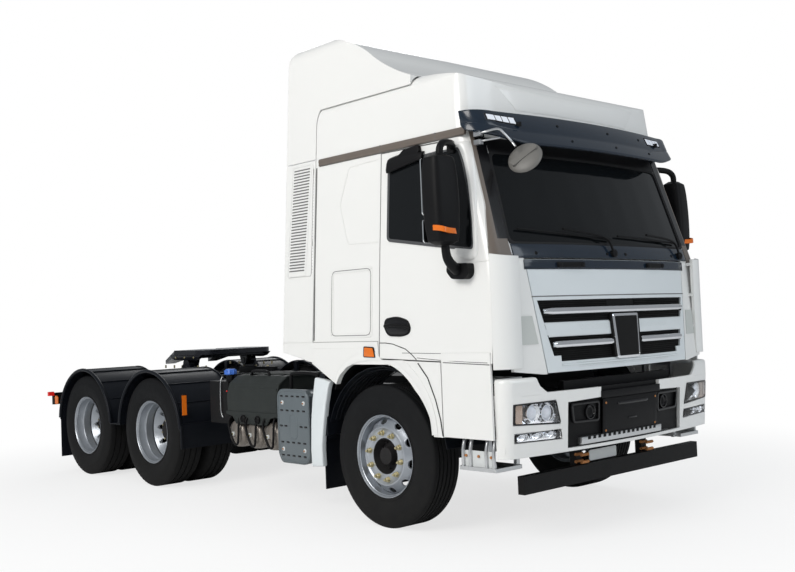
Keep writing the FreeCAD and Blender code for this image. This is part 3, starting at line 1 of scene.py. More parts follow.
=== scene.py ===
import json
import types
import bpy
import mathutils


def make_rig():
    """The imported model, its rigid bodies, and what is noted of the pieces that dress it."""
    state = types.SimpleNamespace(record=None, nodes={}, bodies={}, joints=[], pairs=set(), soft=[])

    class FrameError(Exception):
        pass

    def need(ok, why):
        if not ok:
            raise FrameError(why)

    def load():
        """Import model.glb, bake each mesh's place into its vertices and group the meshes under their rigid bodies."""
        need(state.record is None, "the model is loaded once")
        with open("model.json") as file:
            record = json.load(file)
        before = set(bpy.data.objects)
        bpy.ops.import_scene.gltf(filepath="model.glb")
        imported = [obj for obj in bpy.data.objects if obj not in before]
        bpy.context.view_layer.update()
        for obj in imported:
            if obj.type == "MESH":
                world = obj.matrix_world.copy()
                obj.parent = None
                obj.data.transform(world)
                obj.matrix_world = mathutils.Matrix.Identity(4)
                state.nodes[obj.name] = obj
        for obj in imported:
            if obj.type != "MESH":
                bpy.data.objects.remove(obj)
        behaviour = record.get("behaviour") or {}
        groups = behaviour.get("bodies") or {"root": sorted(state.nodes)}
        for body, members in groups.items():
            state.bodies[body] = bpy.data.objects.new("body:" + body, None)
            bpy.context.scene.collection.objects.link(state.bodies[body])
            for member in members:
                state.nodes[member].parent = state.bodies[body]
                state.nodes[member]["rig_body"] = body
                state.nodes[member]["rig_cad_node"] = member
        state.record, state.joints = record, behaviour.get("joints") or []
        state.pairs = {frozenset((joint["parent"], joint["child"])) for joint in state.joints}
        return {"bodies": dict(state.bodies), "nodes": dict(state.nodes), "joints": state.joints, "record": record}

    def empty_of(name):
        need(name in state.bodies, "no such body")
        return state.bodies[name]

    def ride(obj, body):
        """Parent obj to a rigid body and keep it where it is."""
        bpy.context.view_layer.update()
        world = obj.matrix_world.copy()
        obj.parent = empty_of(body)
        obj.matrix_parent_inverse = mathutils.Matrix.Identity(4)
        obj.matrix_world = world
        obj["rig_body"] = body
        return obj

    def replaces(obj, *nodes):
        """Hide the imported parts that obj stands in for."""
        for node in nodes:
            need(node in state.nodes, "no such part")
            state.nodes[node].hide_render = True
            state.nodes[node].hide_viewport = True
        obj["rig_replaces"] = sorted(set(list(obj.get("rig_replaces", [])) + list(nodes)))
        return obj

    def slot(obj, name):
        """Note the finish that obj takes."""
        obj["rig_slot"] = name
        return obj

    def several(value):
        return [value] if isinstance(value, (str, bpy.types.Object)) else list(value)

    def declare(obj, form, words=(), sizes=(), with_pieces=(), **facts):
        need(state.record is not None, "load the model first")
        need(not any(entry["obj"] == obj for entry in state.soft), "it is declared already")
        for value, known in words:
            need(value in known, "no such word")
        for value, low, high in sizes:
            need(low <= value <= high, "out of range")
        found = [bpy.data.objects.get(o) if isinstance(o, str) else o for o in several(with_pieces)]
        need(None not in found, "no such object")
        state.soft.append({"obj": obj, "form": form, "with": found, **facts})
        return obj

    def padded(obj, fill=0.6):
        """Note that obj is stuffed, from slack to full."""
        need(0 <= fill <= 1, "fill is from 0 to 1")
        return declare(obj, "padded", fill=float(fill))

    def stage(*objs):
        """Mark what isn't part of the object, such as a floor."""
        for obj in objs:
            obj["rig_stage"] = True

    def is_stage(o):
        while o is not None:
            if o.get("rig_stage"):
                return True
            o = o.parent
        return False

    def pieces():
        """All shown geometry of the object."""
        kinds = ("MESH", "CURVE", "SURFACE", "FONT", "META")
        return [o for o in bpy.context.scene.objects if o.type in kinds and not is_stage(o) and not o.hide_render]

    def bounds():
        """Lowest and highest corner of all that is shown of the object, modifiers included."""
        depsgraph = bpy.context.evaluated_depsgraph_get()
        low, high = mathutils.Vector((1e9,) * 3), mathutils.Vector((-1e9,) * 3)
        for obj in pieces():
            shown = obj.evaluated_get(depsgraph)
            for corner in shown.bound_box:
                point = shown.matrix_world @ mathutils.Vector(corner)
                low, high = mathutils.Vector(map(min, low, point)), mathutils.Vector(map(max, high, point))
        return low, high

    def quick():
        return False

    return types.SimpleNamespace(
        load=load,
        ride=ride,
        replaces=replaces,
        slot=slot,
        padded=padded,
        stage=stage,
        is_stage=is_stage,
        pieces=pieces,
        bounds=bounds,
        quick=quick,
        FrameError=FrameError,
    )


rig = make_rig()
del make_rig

bl_info = {
    "name": "Tractor Unit Dressing",
    "version": (1, 0, 0),
    "blender": (4, 5, 0),
    "location": "View3D > Sidebar > Truck",
    "description": "Dresses the packed tractor unit with finishes, detailed wheels, lamps, trim and a studio",
    "category": "Object",
}

import json
import math
import sys

import bmesh
import bpy
from mathutils import Matrix, Vector

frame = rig.load()
NODES = frame["nodes"]
CAD_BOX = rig.bounds()

# Row x of the front axle, its height, and how far the driven axles lie behind it, in metres.
AXLE_X = 2.116
AXLE_Z = 0.515
MID_BACK, LAST_BACK = 3.3, 4.65
MID_X = AXLE_X - MID_BACK
LAST_X = AXLE_X - LAST_BACK
# Angle of the bowed front where it meets its round corners, and the corners' radii.
TURN = math.radians(10.3)
CAB_CORNER, BUMPER_CORNER = 0.09, 0.08
QUARTER = math.pi / 2
# Half width of the flat panels low on the cab's sides, and side of a chair's middle.
SILL_Y = 1.245
CHAIR_Y = 0.745
# Height, reach ahead of the front axle and half width of the cab's skin and of the bumper.
CAB_ROWS = ((1.1, 1.315, 1.25), (1.88, 1.262, 1.205), (2.76, 0.985, 1.142), (3.3, 0.925, 1.105))
BUMPER_ROWS = ((0.578, 1.312, 1.212), (0.985, 1.338, 1.22))
SIDES = (("left", 1), ("right", -1))


def at(x, y, z):
    """A point from its distance ahead of the front axle, its side and its height."""
    return Vector((x + AXLE_X, y, z))


class Form:
    """Corner points and faces that become one joined mesh, with a finish number per face."""

    def __init__(self):
        self.points = []
        self.faces = []
        self.finishes = []

    def put(self, points, faces, finish=0):
        base = len(self.points)
        self.points += [Vector(p) for p in points]
        self.faces += [tuple(i + base for i in f) for f in faces]
        self.finishes += [finish] * len(faces)
        return self

    def grid(self, rows, finish=0, closed=False):
        """A skin through rows of points, each row as long as the next."""
        wide = len(rows[0])
        faces = []
        for j in range(len(rows) - 1):
            for i in range(wide if closed else wide - 1):
                k = (i + 1) % wide
                faces.append((j * wide + i, j * wide + k, (j + 1) * wide + k, (j + 1) * wide + i))
        return self.put([p for row in rows for p in row], faces, finish)

    def box(self, low, high, finish=0):
        (x0, y0, z0), (x1, y1, z1) = low, high
        points = [(x, y, z) for z in (z0, z1) for y in (y0, y1) for x in (x0, x1)]
        faces = [(0, 2, 3, 1), (4, 5, 7, 6), (0, 1, 5, 4), (1, 3, 7, 5), (3, 2, 6, 7), (2, 0, 4, 6)]
        return self.put(points, faces, finish)

    def prism(self, outline, place, low, high, finish=0):
        """A flat outline pushed from low to high, each corner set by place(u, v, w)."""
        n = len(outline)
        points = [place(u, v, w) for w in (low, high) for u, v in outline]
        faces = [tuple(range(n))[::-1], tuple(range(n, 2 * n))]
        faces += [(i, (i + 1) % n, n + (i + 1) % n, n + i) for i in range(n)]
        return self.put(points, faces, finish)

    def turned(self, profile, place, steps=48, finish=0, closed=True, start=0.0, stop=2 * math.pi):
        """A profile of (radius, along) pairs turned round an axis, each corner set by place(u, v, w)."""
        whole = abs(stop - start - 2 * math.pi) < 1e-6
        count = steps if whole else steps + 1
        loop = profile + profile[:1] if closed else profile
        rows = []
        for r, w in loop:
            rows.append([place(r * math.cos(start + (stop - start) * i / steps),
                               r * math.sin(start + (stop - start) * i / steps), w) for i in range(count)])
        return self.grid(rows, finish, whole)

    def rod(self, path, radius, sides=12, finish=0, smooth=0):
        """A round bar along a path, with its ends capped."""
        points = [Vector(p) for p in path]
        if smooth:
            points = eased(points, smooth)
        side = None
        rows = []
        for i, p in enumerate(points):
            ahead = (points[min(i + 1, len(points) - 1)] - points[max(i - 1, 0)]).normalized()
            if side is None:
                side = ahead.orthogonal().normalized()
            side = (side - ahead * side.dot(ahead)).normalized()
            other = ahead.cross(side)
            r = radius(i / (len(points) - 1)) if callable(radius) else radius
            turns = [2 * math.pi * k / sides for k in range(sides)]
            rows.append([p + r * (math.cos(a) * side + math.sin(a) * other) for a in turns])
        self.grid(rows, finish, True)
        base = len(self.points) - len(rows) * sides
        self.faces.append(tuple(range(base, base + sides))[::-1])
        self.faces.append(tuple(range(len(self.points) - sides, len(self.points))))
        self.finishes += [finish, finish]
        return self

    def flipped(self):
        """The same form on the other side of the truck."""
        other = Form()
        other.points = [Vector((p.x, -p.y, p.z)) for p in self.points]
        other.faces = [f[::-1] for f in self.faces]
        other.finishes = list(self.finishes)
        return other

    def join(self, other):
        for finish in sorted(set(other.finishes)):
            faces = [f for f, n in zip(other.faces, other.finishes) if n == finish]
            base = len(self.points)
            self.points += other.points
            self.faces += [tuple(i + base for i in f) for f in faces]
            self.finishes += [finish] * len(faces)
        return self


def eased(points, steps):
    """A smooth path through the points, Catmull and Rom's way."""
    path = [points[0]] + points + [points[-1]]
    out = []
    for i in range(1, len(path) - 2):
        a, b, c, d = path[i - 1:i + 3]
        for k in range(steps):
            t = k / steps
            out.append(0.5 * (2 * b + (c - a) * t + (2 * a - 5 * b + 4 * c - d) * t * t
                              + (3 * b - a - 3 * c + d) * t ** 3))
    return out + [points[-1]]


def rounded(outline, radius, steps=5):
    """A flat outline with its corners rounded."""
    out = []
    n = len(outline)
    for i in range(n):
        a, b, c = (Vector(outline[(i + k) % n]) for k in (-1, 0, 1))
        reach = min(radius, (a - b).length / 2.01, (c - b).length / 2.01)
        p, q = b + (a - b).normalized() * reach, b + (c - b).normalized() * reach
        for k in range(steps + 1):
            t = k / steps
            out.append(tuple((1 - t) ** 2 * p + 2 * t * (1 - t) * b + t * t * q))
    return out


def tablet(u0, u1, v0, v1, radius, steps):
    """An upright rectangle with its corners rounded."""
    return rounded([(u0, v0), (u1, v0), (u1, v1), (u0, v1)], radius, steps)


def shrunk(outline, gap):
    """A flat outline drawn towards its middle by about gap."""
    mx, my = (sum(p[k] for p in outline) / len(outline) for k in (0, 1))
    out = []
    for x, y in outline:
        d = math.hypot(x - mx, y - my)
        out.append((x - (x - mx) * gap / d, y - (y - my) * gap / d))
    return out


def along_x(u, v, w):
    """Outline in side and height, pushed along the truck."""
    return at(w, u, v)


def along_y(u, v, w):
    """Outline in length and height, pushed across the truck."""
    return at(u, w, v)


def along_z(u, v, w):
    """Outline in length and side, pushed upward."""
    return at(u, v, w)


def beside(sign, y=0.0):
    """Outline in length and height, laid w further out than y on one side."""
    return lambda u, v, w: at(u, sign * (y + w), v)


def about_axle(u, v, w):
    """Outline in a wheel's plane, pushed along its axle, about the wheel's own centre."""
    return Vector((u, w, v))


def shifted(place, du, dv):
    """The same surface with its outline's origin moved."""
    return lambda u, v, w: place(du + u, dv + v, w)


def on_line(line, z):
    """The value at a height on a broken line of (height, value) pairs."""
    for (z0, x0), (z1, x1) in zip(line, line[1:]):
        if z <= z1 or z1 == line[-1][0]:
            return x0 + (x1 - x0) * (z - z0) / (z1 - z0)


def row_at(rows, z):
    """Front reach and half width of the cab or bumper at a height."""
    for (z0, x0, h0), (z1, x1, h1) in zip(rows, rows[1:]):
        if z <= z1 or z1 == rows[-1][0]:
            t = (z - z0) / (z1 - z0)
            return x0 + (x1 - x0) * t, h0 + (h1 - h0) * t


def plan(rows, z, corner, steps=8):
    """Half of the plan outline at a height, from the side round the corner to the front bow."""
    reach, half = row_at(rows, z)
    chord = half - corner * (1 - math.sin(TURN))
    cx = reach - chord * math.tan(TURN / 2) - corner * math.cos(TURN)
    cy = half - corner
    angles = [math.pi / 2 + (TURN - math.pi / 2) * i / steps for i in range(steps + 1)]
    return [(cx + corner * math.cos(a), cy + corner * math.sin(a)) for a in angles], reach, chord


def front_x(y, z, rows=CAB_ROWS, corner=CAB_CORNER):
    """How far ahead of the axle the front skin lies at a side and height."""
    round_corner, reach, chord = plan(rows, z, corner)
    y = abs(y)
    if y <= chord:
        sag = chord * math.tan(TURN / 2)
        big = (chord * chord + sag * sag) / (2 * sag)
        return reach - big + math.sqrt(big * big - y * y)
    cx, cy = round_corner[0][0], row_at(rows, z)[1] - corner
    return cx + math.sqrt(max(corner * corner - (y - cy) ** 2, 0))


def side_y(z):
    """Half width of the cab at a height."""
    return row_at(CAB_ROWS, z)[1]


def on_front(u, v, w):
    """Outline in side and height, laid w proud of the cab's bowed front."""
    return at(front_x(u, v) + w, u, v)


def on_bumper(u, v, w):
    """Outline in side and height, laid w proud of the bumper and of its set-back middle."""
    depth, half = 0.010, 0.66
    back = depth * max(0.0, 1 - (u / half) ** 2)
    return at(front_x(u, v, BUMPER_ROWS, BUMPER_CORNER) + w - back, u, v)


def on_side(sign):
    """Outline in length and height, laid w proud of the cab's side."""
    return lambda u, v, w: at(u, sign * (side_y(v) + w), v)


def plated(form, outer, inner, finish=0):
    """A closed plate between two skins of points with the same rows."""
    form.grid(outer, finish)
    form.grid([row[::-1] for row in inner], finish)
    rim_out = outer[0] + [r[-1] for r in outer[1:]] + outer[-1][-2::-1] + [r[0] for r in outer[-2:0:-1]]
    rim_in = inner[0] + [r[-1] for r in inner[1:]] + inner[-1][-2::-1] + [r[0] for r in inner[-2:0:-1]]
    return form.grid([rim_in, rim_out], finish, True)


def patch(form, u0, u1, v0, v1, place, low, high, across=12, up=4, finish=0):
    """A curved plate with thickness, laid on a surface between two sides and two heights."""
    def skin(w):
        return [[place(u0 + (u1 - u0) * i / across, v0 + (v1 - v0) * j / up, w) for i in range(across + 1)]
                for j in range(up + 1)]
    return plated(form, skin(high), skin(low), finish)


def stud(form, place, u, v, low, high, radius, sides=12, finish=0):
    """A short round bar that stands on a surface."""
    form.rod([place(u, v, low), place(u, v, high)], radius, sides, finish)


def ribbon(form, path, place, width, low, high, finish=0, closed=False):
    """A narrow raised strip along a path drawn in a surface's own two directions."""
    pts = [Vector(p) for p in path]
    n = len(pts)
    rows = []
    for i, p in enumerate(pts):
        a = pts[(i - 1) % n] if closed or i else p
        b = pts[(i + 1) % n] if closed or i < n - 1 else p
        d = (b - a).normalized()
        side = Vector((-d.y, d.x)) * width / 2
        rows.append([place(*(p + side), low), place(*(p + side), high), place(*(p - side), high),
                     place(*(p - side), low)])
    if closed:
        rows.append(rows[0])
    form.grid(rows, finish, True)
    return form


def mesh_of(name, form):
    """A mesh with a form's points and faces, before its corners are joined."""
    mesh = bpy.data.meshes.new(name)
    mesh.from_pydata([tuple(p) for p in form.points], [], form.faces)
    return mesh


def joined(mesh):
    """The mesh with doubled corners joined and its faces turned outward."""
    work = bmesh.new()
    work.from_mesh(mesh)
    bmesh.ops.remove_doubles(work, verts=work.verts, dist=1e-5)
    bmesh.ops.recalc_face_normals(work, faces=work.faces)
    work.to_mesh(mesh)
    work.free()
    return mesh


def shown(name, data):
    """A new object in the scene."""
    made = bpy.data.objects.new(name, data)
    bpy.context.scene.collection.objects.link(made)
    return made


def piece(name, form, finishes, body, slot, bevel=0.0, smooth=32.0, segments=2):
    """One object from a form, with its named finishes and softened edges, riding on its body."""
    mesh = mesh_of(name, form)
    mesh.validate()
    for title in [finishes] if isinstance(finishes, str) else finishes:
        mesh.materials.append(FINISH[title])
    if len(mesh.polygons) == len(form.finishes):
        mesh.polygons.foreach_set("material_index", form.finishes)
    made = soften(shown(name, joined(mesh)), bevel, smooth, segments)
    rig.ride(made, body)
    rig.slot(made, slot)
    return made


def soften(made, bevel, smooth=32.0, segments=2):
    """Rounded edges and smooth shading up to an angle."""
    for face in made.data.polygons:
        face.use_smooth = True
    if bevel:
        edge = made.modifiers.new("Rounded Edges", "BEVEL")
        edge.width = bevel
        edge.segments = segments
        edge.limit_method = "ANGLE"
        edge.angle_limit = math.radians(30)
        edge.use_clamp_overlap = True
        edge.harden_normals = False
    split = made.modifiers.new("Crisp Edges", "EDGE_SPLIT")
    split.split_angle = math.radians(smooth)
    return made


def cast(form):
    """A mesh from a form, joined up, for cutting or remeshing."""
    return joined(mesh_of("Cast", form))


def evaluated(made):
    """The object as its modifiers leave it."""
    return made.evaluated_get(bpy.context.evaluated_depsgraph_get())


def bored(form, cutters):
    """The form with the cutters' form taken out of it."""
    blank = shown("Blank", cast(form))
    tool = shown("Cutter", cast(cutters))
    cut = blank.modifiers.new("Cut", "BOOLEAN")
    cut.object = tool
    cut.operation = "DIFFERENCE"
    cut.solver = "EXACT"
    bpy.context.view_layer.update()
    mesh = bpy.data.meshes.new_from_object(evaluated(blank))
    out = Form().put([v.co for v in mesh.vertices], [tuple(f.vertices) for f in mesh.polygons])
    for made in (blank, tool):
        bpy.data.objects.remove(made)
    return out


# finishes

def finish(name, colour, rough, metal=0.0, vary=0.05, patch_size=6.0, grain=220.0, bump=0.02, coat=0.0,
           specular=0.5, grime=0.0, grime_low=0.2, grime_high=1.2, edge=0.0):
    """A surface with drifting colour, uneven gloss, a fine grain, road grime low down and softened edges."""
    made = bpy.data.materials.new(name)
    made.use_nodes = True
    tree = made.node_tree
    new, join = tree.nodes.new, tree.links.new
    skin = tree.nodes["Principled BSDF"]
    skin.inputs["Metallic"].default_value = metal
    skin.inputs["Coat Weight"].default_value = coat
    skin.inputs["Coat Roughness"].default_value = 0.06
    skin.inputs["Specular IOR Level"].default_value = specular
    place = new("ShaderNodeTexCoord").outputs["Object"]
    drift = new("ShaderNodeTexNoise")
    drift.inputs["Scale"].default_value = patch_size
    drift.inputs["Detail"].default_value = 4.0
    join(place, drift.inputs["Vector"])
    blend = new("ShaderNodeMix")
    blend.data_type = "RGBA"
    blend.inputs[6].default_value = tuple(max(0.0, c * (1 - vary)) for c in colour[:3]) + (1.0,)
    blend.inputs[7].default_value = tuple(min(1.0, c * (1 + vary)) for c in colour[:3]) + (1.0,)
    join(drift.outputs["Fac"], blend.inputs[0])
    tone = blend.outputs[2]
    if grime:
        spread = new("ShaderNodeSeparateXYZ")
        join(place, spread.inputs[0])
        height = new("ShaderNodeMapRange")
        height.inputs["From Min"].default_value = grime_high
        height.inputs["From Max"].default_value = grime_low
        height.inputs["To Max"].default_value = grime
        join(spread.outputs["Z"], height.inputs["Value"])
        dust = new("ShaderNodeMath")
        dust.operation = "MULTIPLY"
        join(height.outputs[0], dust.inputs[0])
        join(drift.outputs["Fac"], dust.inputs[1])
        dirty = new("ShaderNodeMix")
        dirty.data_type = "RGBA"
        dirty.inputs[7].default_value = (0.24, 0.21, 0.17, 1.0)
        join(dust.outputs[0], dirty.inputs[0])
        join(tone, dirty.inputs[6])
        tone = dirty.outputs[2]
    join(tone, skin.inputs["Base Color"])
    gloss = new("ShaderNodeMapRange")
    gloss.inputs["To Min"].default_value = max(0.02, rough * 0.8)
    gloss.inputs["To Max"].default_value = min(1.0, rough * 1.2)
    join(drift.outputs["Fac"], gloss.inputs["Value"])
    join(gloss.outputs[0], skin.inputs["Roughness"])
    fine = new("ShaderNodeTexNoise")
    fine.inputs["Scale"].default_value = grain
    fine.inputs["Detail"].default_value = 2.0
    join(place, fine.inputs["Vector"])
    relief = new("ShaderNodeBump")
    relief.inputs["Strength"].default_value = bump
    relief.inputs["Distance"].default_value = 0.002
    join(fine.outputs["Fac"], relief.inputs["Height"])
    if edge:
        soft = new("ShaderNodeBevel")
        soft.samples = 4
        soft.inputs["Radius"].default_value = edge
        join(soft.outputs[0], relief.inputs["Normal"])
    join(relief.outputs[0], skin.inputs["Normal"])
    return made


def glow(made, colour, strength):
    """A faint light of its own, as a lamp lens holds."""
    skin = made.node_tree.nodes["Principled BSDF"]
    skin.inputs["Emission Color"].default_value = tuple(colour) + (1.0,)
    skin.inputs["Emission Strength"].default_value = strength
    return made


def clear(name, colour, rough=0.03, ior=1.45, weight=1.0):
    """Clear or tinted lens plastic and glass."""
    made = finish(name, colour, rough, bump=0.0, vary=0.02)
    skin = made.node_tree.nodes["Principled BSDF"]
    skin.inputs["Transmission Weight"].default_value = weight
    skin.inputs["IOR"].default_value = ior
    return made


class BodyColours(bpy.types.PropertyGroup):
    """Colours of the cab and its trim."""

    paint: bpy.props.FloatVectorProperty(name="Paint", description="Body colour of the cab and bumper",
                                         size=3, subtype="COLOR", default=(0.80, 0.80, 0.785))
    # Front paint is painted shade: the body paint made darker and bluer, as the front panels look when they face away
    # from the side lamp.
    flap: bpy.props.FloatVectorProperty(name="Front Paint With Painted Shade",
                                        description="Cooler body colour of the front panels",
                                        size=3, subtype="COLOR", default=(0.70, 0.745, 0.765))
    trim: bpy.props.FloatVectorProperty(name="Trim",
                                        description="Taupe trim of the gutters and front pillars",
                                        size=3, subtype="COLOR", default=(0.135, 0.112, 0.095))
    visor: bpy.props.FloatVectorProperty(name="Visor", description="Dark blue of the sun visor and cowl",
                                         size=3, subtype="COLOR", default=(0.006, 0.014, 0.027))
    cloth: bpy.props.FloatVectorProperty(name="Cloth", description="Woven cover of the seats and bunk",
                                         size=3, subtype="COLOR", default=(0.06, 0.065, 0.075))


class WheelSizes(bpy.types.PropertyGroup):
    """Sizes of the tyres and rims."""

    tread_depth: bpy.props.FloatProperty(name="Tread Depth", description="Depth of the tread grooves",
                                         default=0.011, min=0.0, max=0.02, unit="LENGTH")
    nut_circle: bpy.props.FloatProperty(name="Nut Circle", description="Radius of the circle of wheel nuts",
                                        default=0.1675, min=0.15, max=0.18, unit="LENGTH")
    nut_width: bpy.props.FloatProperty(name="Nut Width", description="Width across the wheel nuts",
                                       default=0.033, min=0.02, max=0.04, unit="LENGTH")
    steps: bpy.props.IntProperty(name="Tyre Steps", description="Steps round each tyre",
                                 default=120, min=48, max=240)


class StageSizes(bpy.types.PropertyGroup):
    """Light levels and floor of the studio."""

    sky: bpy.props.FloatProperty(name="Sky Level", description="Strength of the even light all round",
                                 default=0.52, min=0.0, max=2.0)
    key: bpy.props.FloatProperty(name="Side Lamp", description="Power of the soft lamp beside the truck",
                                 default=850.0, min=0.0, max=4000.0, unit="POWER")
    fill: bpy.props.FloatProperty(name="Front Lamp", description="Power of the soft lamp ahead of the truck",
                                  default=220.0, min=0.0, max=4000.0, unit="POWER")
    floor: bpy.props.FloatProperty(name="Floor Size", description="Width of the floor", default=120.0,
                                   unit="LENGTH")


FINISH = {}


def make_finishes(colours):
    """Every finish of the truck, by a plain name."""
    black = (0.0055, 0.0055, 0.0062)
    FINISH.update({
        "paint": finish("Body Paint", colours.paint, 0.32, coat=0.6, vary=0.012, patch_size=2.0, bump=0.012,
                        grain=500.0, grime=0.10, grime_low=0.3, grime_high=1.3, edge=0.006),
        # The front panels' paint is painted shade: a darker, bluer copy of the body paint.
        "front paint": finish("Front Panel Paint", colours.flap, 0.30, coat=0.7, vary=0.015, patch_size=2.0,
                              bump=0.012, grain=500.0, edge=0.006),
        "matt panel": finish("Matt Panel", (0.52, 0.54, 0.52), 0.6, vary=0.03, grain=900.0, bump=0.12),
        "trim": finish("Taupe Trim", colours.trim, 0.42, vary=0.06, grain=700.0, bump=0.06, edge=0.004),
        "visor": finish("Visor Gloss", colours.visor, 0.20, coat=0.15, vary=0.10, bump=0.01, edge=0.004),
        "black": finish("Moulded Black", black, 0.48, vary=0.16, grain=900.0, bump=0.14, grime=0.02,
                        grime_high=1.0, edge=0.003, specular=0.14),
        "gloss black": finish("Gloss Black", (0.006, 0.006, 0.007), 0.18, coat=0.1, specular=0.3, vary=0.1,
                              bump=0.01),
        "rubber seal": finish("Rubber Seal", (0.02, 0.02, 0.021), 0.65, vary=0.1, bump=0.1, specular=0.14),
        "window rubber": finish("Window Rubber", (0.060, 0.062, 0.066), 0.5, vary=0.1, bump=0.06),
        "seam": finish("Seam Shadow", (0.16, 0.16, 0.16), 0.8, vary=0.15, bump=0.05, specular=0.14),
        "frame": finish("Frame Paint", (0.006, 0.0065, 0.008), 0.42, vary=0.2, grain=400.0, bump=0.08,
                        grime=0.05, grime_high=1.1, edge=0.004, specular=0.14),
        "cast": finish("Cast Iron", (0.018, 0.018, 0.020), 0.6, metal=0.3, vary=0.25, grain=160.0, bump=0.3,
                       grime=0.12, grime_high=1.0, edge=0.004, specular=0.14),
        "guard": finish("Guard Plastic", (0.006, 0.0075, 0.011), 0.36, vary=0.12, grain=800.0, bump=0.10,
                        grime=0.02, grime_high=0.9, edge=0.006, specular=0.14),
        "grease": finish("Greased Steel", (0.010, 0.011, 0.016), 0.24, metal=0.4, vary=0.3, bump=0.1,
                         edge=0.005),
        "vessel": finish("Vessel Paint", (0.24, 0.215, 0.19), 0.34, metal=0.5, vary=0.10, bump=0.03,
                         grain=300.0, grime=0.2, grime_high=0.8),
        "battery": finish("Battery Cover", (0.024, 0.028, 0.027), 0.58, vary=0.10, grain=900.0, bump=0.20,
                          edge=0.006, specular=0.22),
        "slate": finish("Slate Cover", (0.135, 0.160, 0.175), 0.40, metal=0.25, vary=0.05, grain=700.0,
                        bump=0.10, grime=0.12, grime_high=0.8, edge=0.008),
        "bright": finish("Bright Alloy", (0.62, 0.63, 0.64), 0.30, metal=1.0, vary=0.06, bump=0.04,
                         grain=400.0, grime=0.1, edge=0.003),
        "chrome": finish("Chrome", (0.80, 0.81, 0.83), 0.07, metal=1.0, vary=0.03, bump=0.004),
        "wheel": finish("Wheel Silver", (0.42, 0.45, 0.49), 0.34, metal=0.65, vary=0.07, patch_size=9.0,
                        bump=0.04, grain=500.0, grime=0.16, grime_high=0.9),
        "nut": finish("Plated Nut", (0.50, 0.44, 0.26), 0.34, metal=0.8, vary=0.15, bump=0.08),
        "bolt": finish("Orange Bolt", (0.42, 0.17, 0.05), 0.5, metal=0.3, vary=0.2, bump=0.1),
        "tyre": finish("Tyre Rubber", (0.0075, 0.008, 0.009), 0.72, vary=0.14, patch_size=14.0, grain=500.0,
                       bump=0.16, grime=0.05, grime_low=0.0, grime_high=0.9, specular=0.14),
        "glass": finish("Dark Glass", (0.006, 0.007, 0.008), 0.05, vary=0.05, bump=0.0, specular=0.22),
        "mesh": finish("Black Mesh", (0.008, 0.008, 0.008), 0.6, vary=0.1, bump=0.1, specular=0.14),
        "inside": finish("Cab Lining", (0.20, 0.20, 0.195), 0.7, vary=0.06, grain=500.0, bump=0.2),
        "cloth": finish("Woven Cloth", colours.cloth, 0.9, vary=0.12, grain=900.0, bump=0.35),
        "amber": finish("Side Lamp Bowl", (0.55, 0.42, 0.34), 0.2, metal=0.5, vary=0.08, bump=0.03),
        "orange": glow(finish("Orange Lens", (0.68, 0.15, 0.012), 0.15, vary=0.08, bump=0.02),
                       (0.9, 0.2, 0.01), 0.06),
        "red": glow(finish("Red Lens", (0.55, 0.015, 0.012), 0.15, vary=0.08, bump=0.02), (0.8, 0.02, 0.01),
                    0.2),
        "white lens": glow(finish("White Lens", (0.75, 0.78, 0.84), 0.12, vary=0.05, bump=0.03),
                           (0.85, 0.9, 1.0), 0.15),
        "blue": finish("Blue Cap", (0.05, 0.17, 0.62), 0.4, vary=0.06, bump=0.05, edge=0.003),
        "mirror": finish("Mirror Glass", (0.85, 0.87, 0.88), 0.02, metal=1.0, vary=0.01, bump=0.0),
        "hazy": finish("Kerb Mirror Back", (0.15, 0.145, 0.135), 0.45, vary=0.05, bump=0.05),
        "lens": clear("Clear Lens", (0.97, 0.98, 1.0)),
        "plate": finish("Pale Plate", (0.60, 0.62, 0.62), 0.5, vary=0.05, bump=0.05),
    })


SLOT_FINISH = {
    "frame_paint": "frame", "cast_grey": "cast", "body_white": "paint", "black_trim": "black",
    "lamp_glass": "lens", "bright_alloy": "bright", "battery_cover": "battery", "vessel_metal": "vessel",
    "slate_cover": "slate", "guard_black": "guard", "coupling_black": "grease", "tinted_glass": "glass",
    "visor_blue": "visor", "interior_grey": "inside", "seat_fabric": "cloth", "grille_black": "mesh",
    "tyre": "tyre", "wheel_silver": "wheel",
}


class TRUCK_OT_finishes(bpy.types.Operator):
    """Gives every carried-over solid its finish and softened edges"""

    bl_idname = "truck.finishes"
    bl_label = "Finishes"

    def execute(self, context):
        make_finishes(context.scene.truck_colours)
        slots = {part["node"]: part["material_slot"] for part in frame["record"]["subparts"]}
        # The front flap takes the darker, bluer copy of the body paint, which is painted shade.
        special = {"front_flap": "front paint"}
        for name, made in NODES.items():
            material = FINISH[special.get(name, SLOT_FINISH[slots[name]])]
            made.data.materials.clear()
            made.data.materials.append(material)
            weld = made.modifiers.new("Joined Corners", "WELD")
            weld.merge_threshold = 0.00005
            soften(made, 0.0, 27.0)
        return {"FINISHED"}


# wheels

def tyre_form(steps, depth, drive):
    """A tyre: bulging sidewalls with fine rings, a shoulder and a tread with grooves all round."""
    half, seat, tread, ridge = 0.146, 0.2863, 0.118, AXLE_Z
    groove, slope = 0.005, 0.002
    side = [(seat, -0.1145), (0.302, -0.124), (0.318, -0.131), (0.322, -0.129), (0.345, -0.1385),
            (0.40, -half), (0.432, -0.1455), (0.437, -0.1435), (0.465, -0.139), (0.490, -0.131),
            (0.503, -0.125), (ridge - 0.003, -tread)]
    lines = (-0.075, -0.038, 0.0, 0.038, 0.075) if not drive else (-0.06, 0.0, 0.06)
    profile = list(side) + [(ridge, -tread + 0.006)]
    for y in lines:
        profile += [(ridge, y - groove - slope), (ridge - depth, y - groove),
                    (ridge - depth, y + groove), (ridge, y + groove + slope)]
    profile += [(ridge, tread - 0.006)] + [(r, -y) for r, y in reversed(side)]
    profile += [(seat - 0.002, 0.10), (seat - 0.002, -0.10)]
    return Form().turned(profile, about_axle, steps)


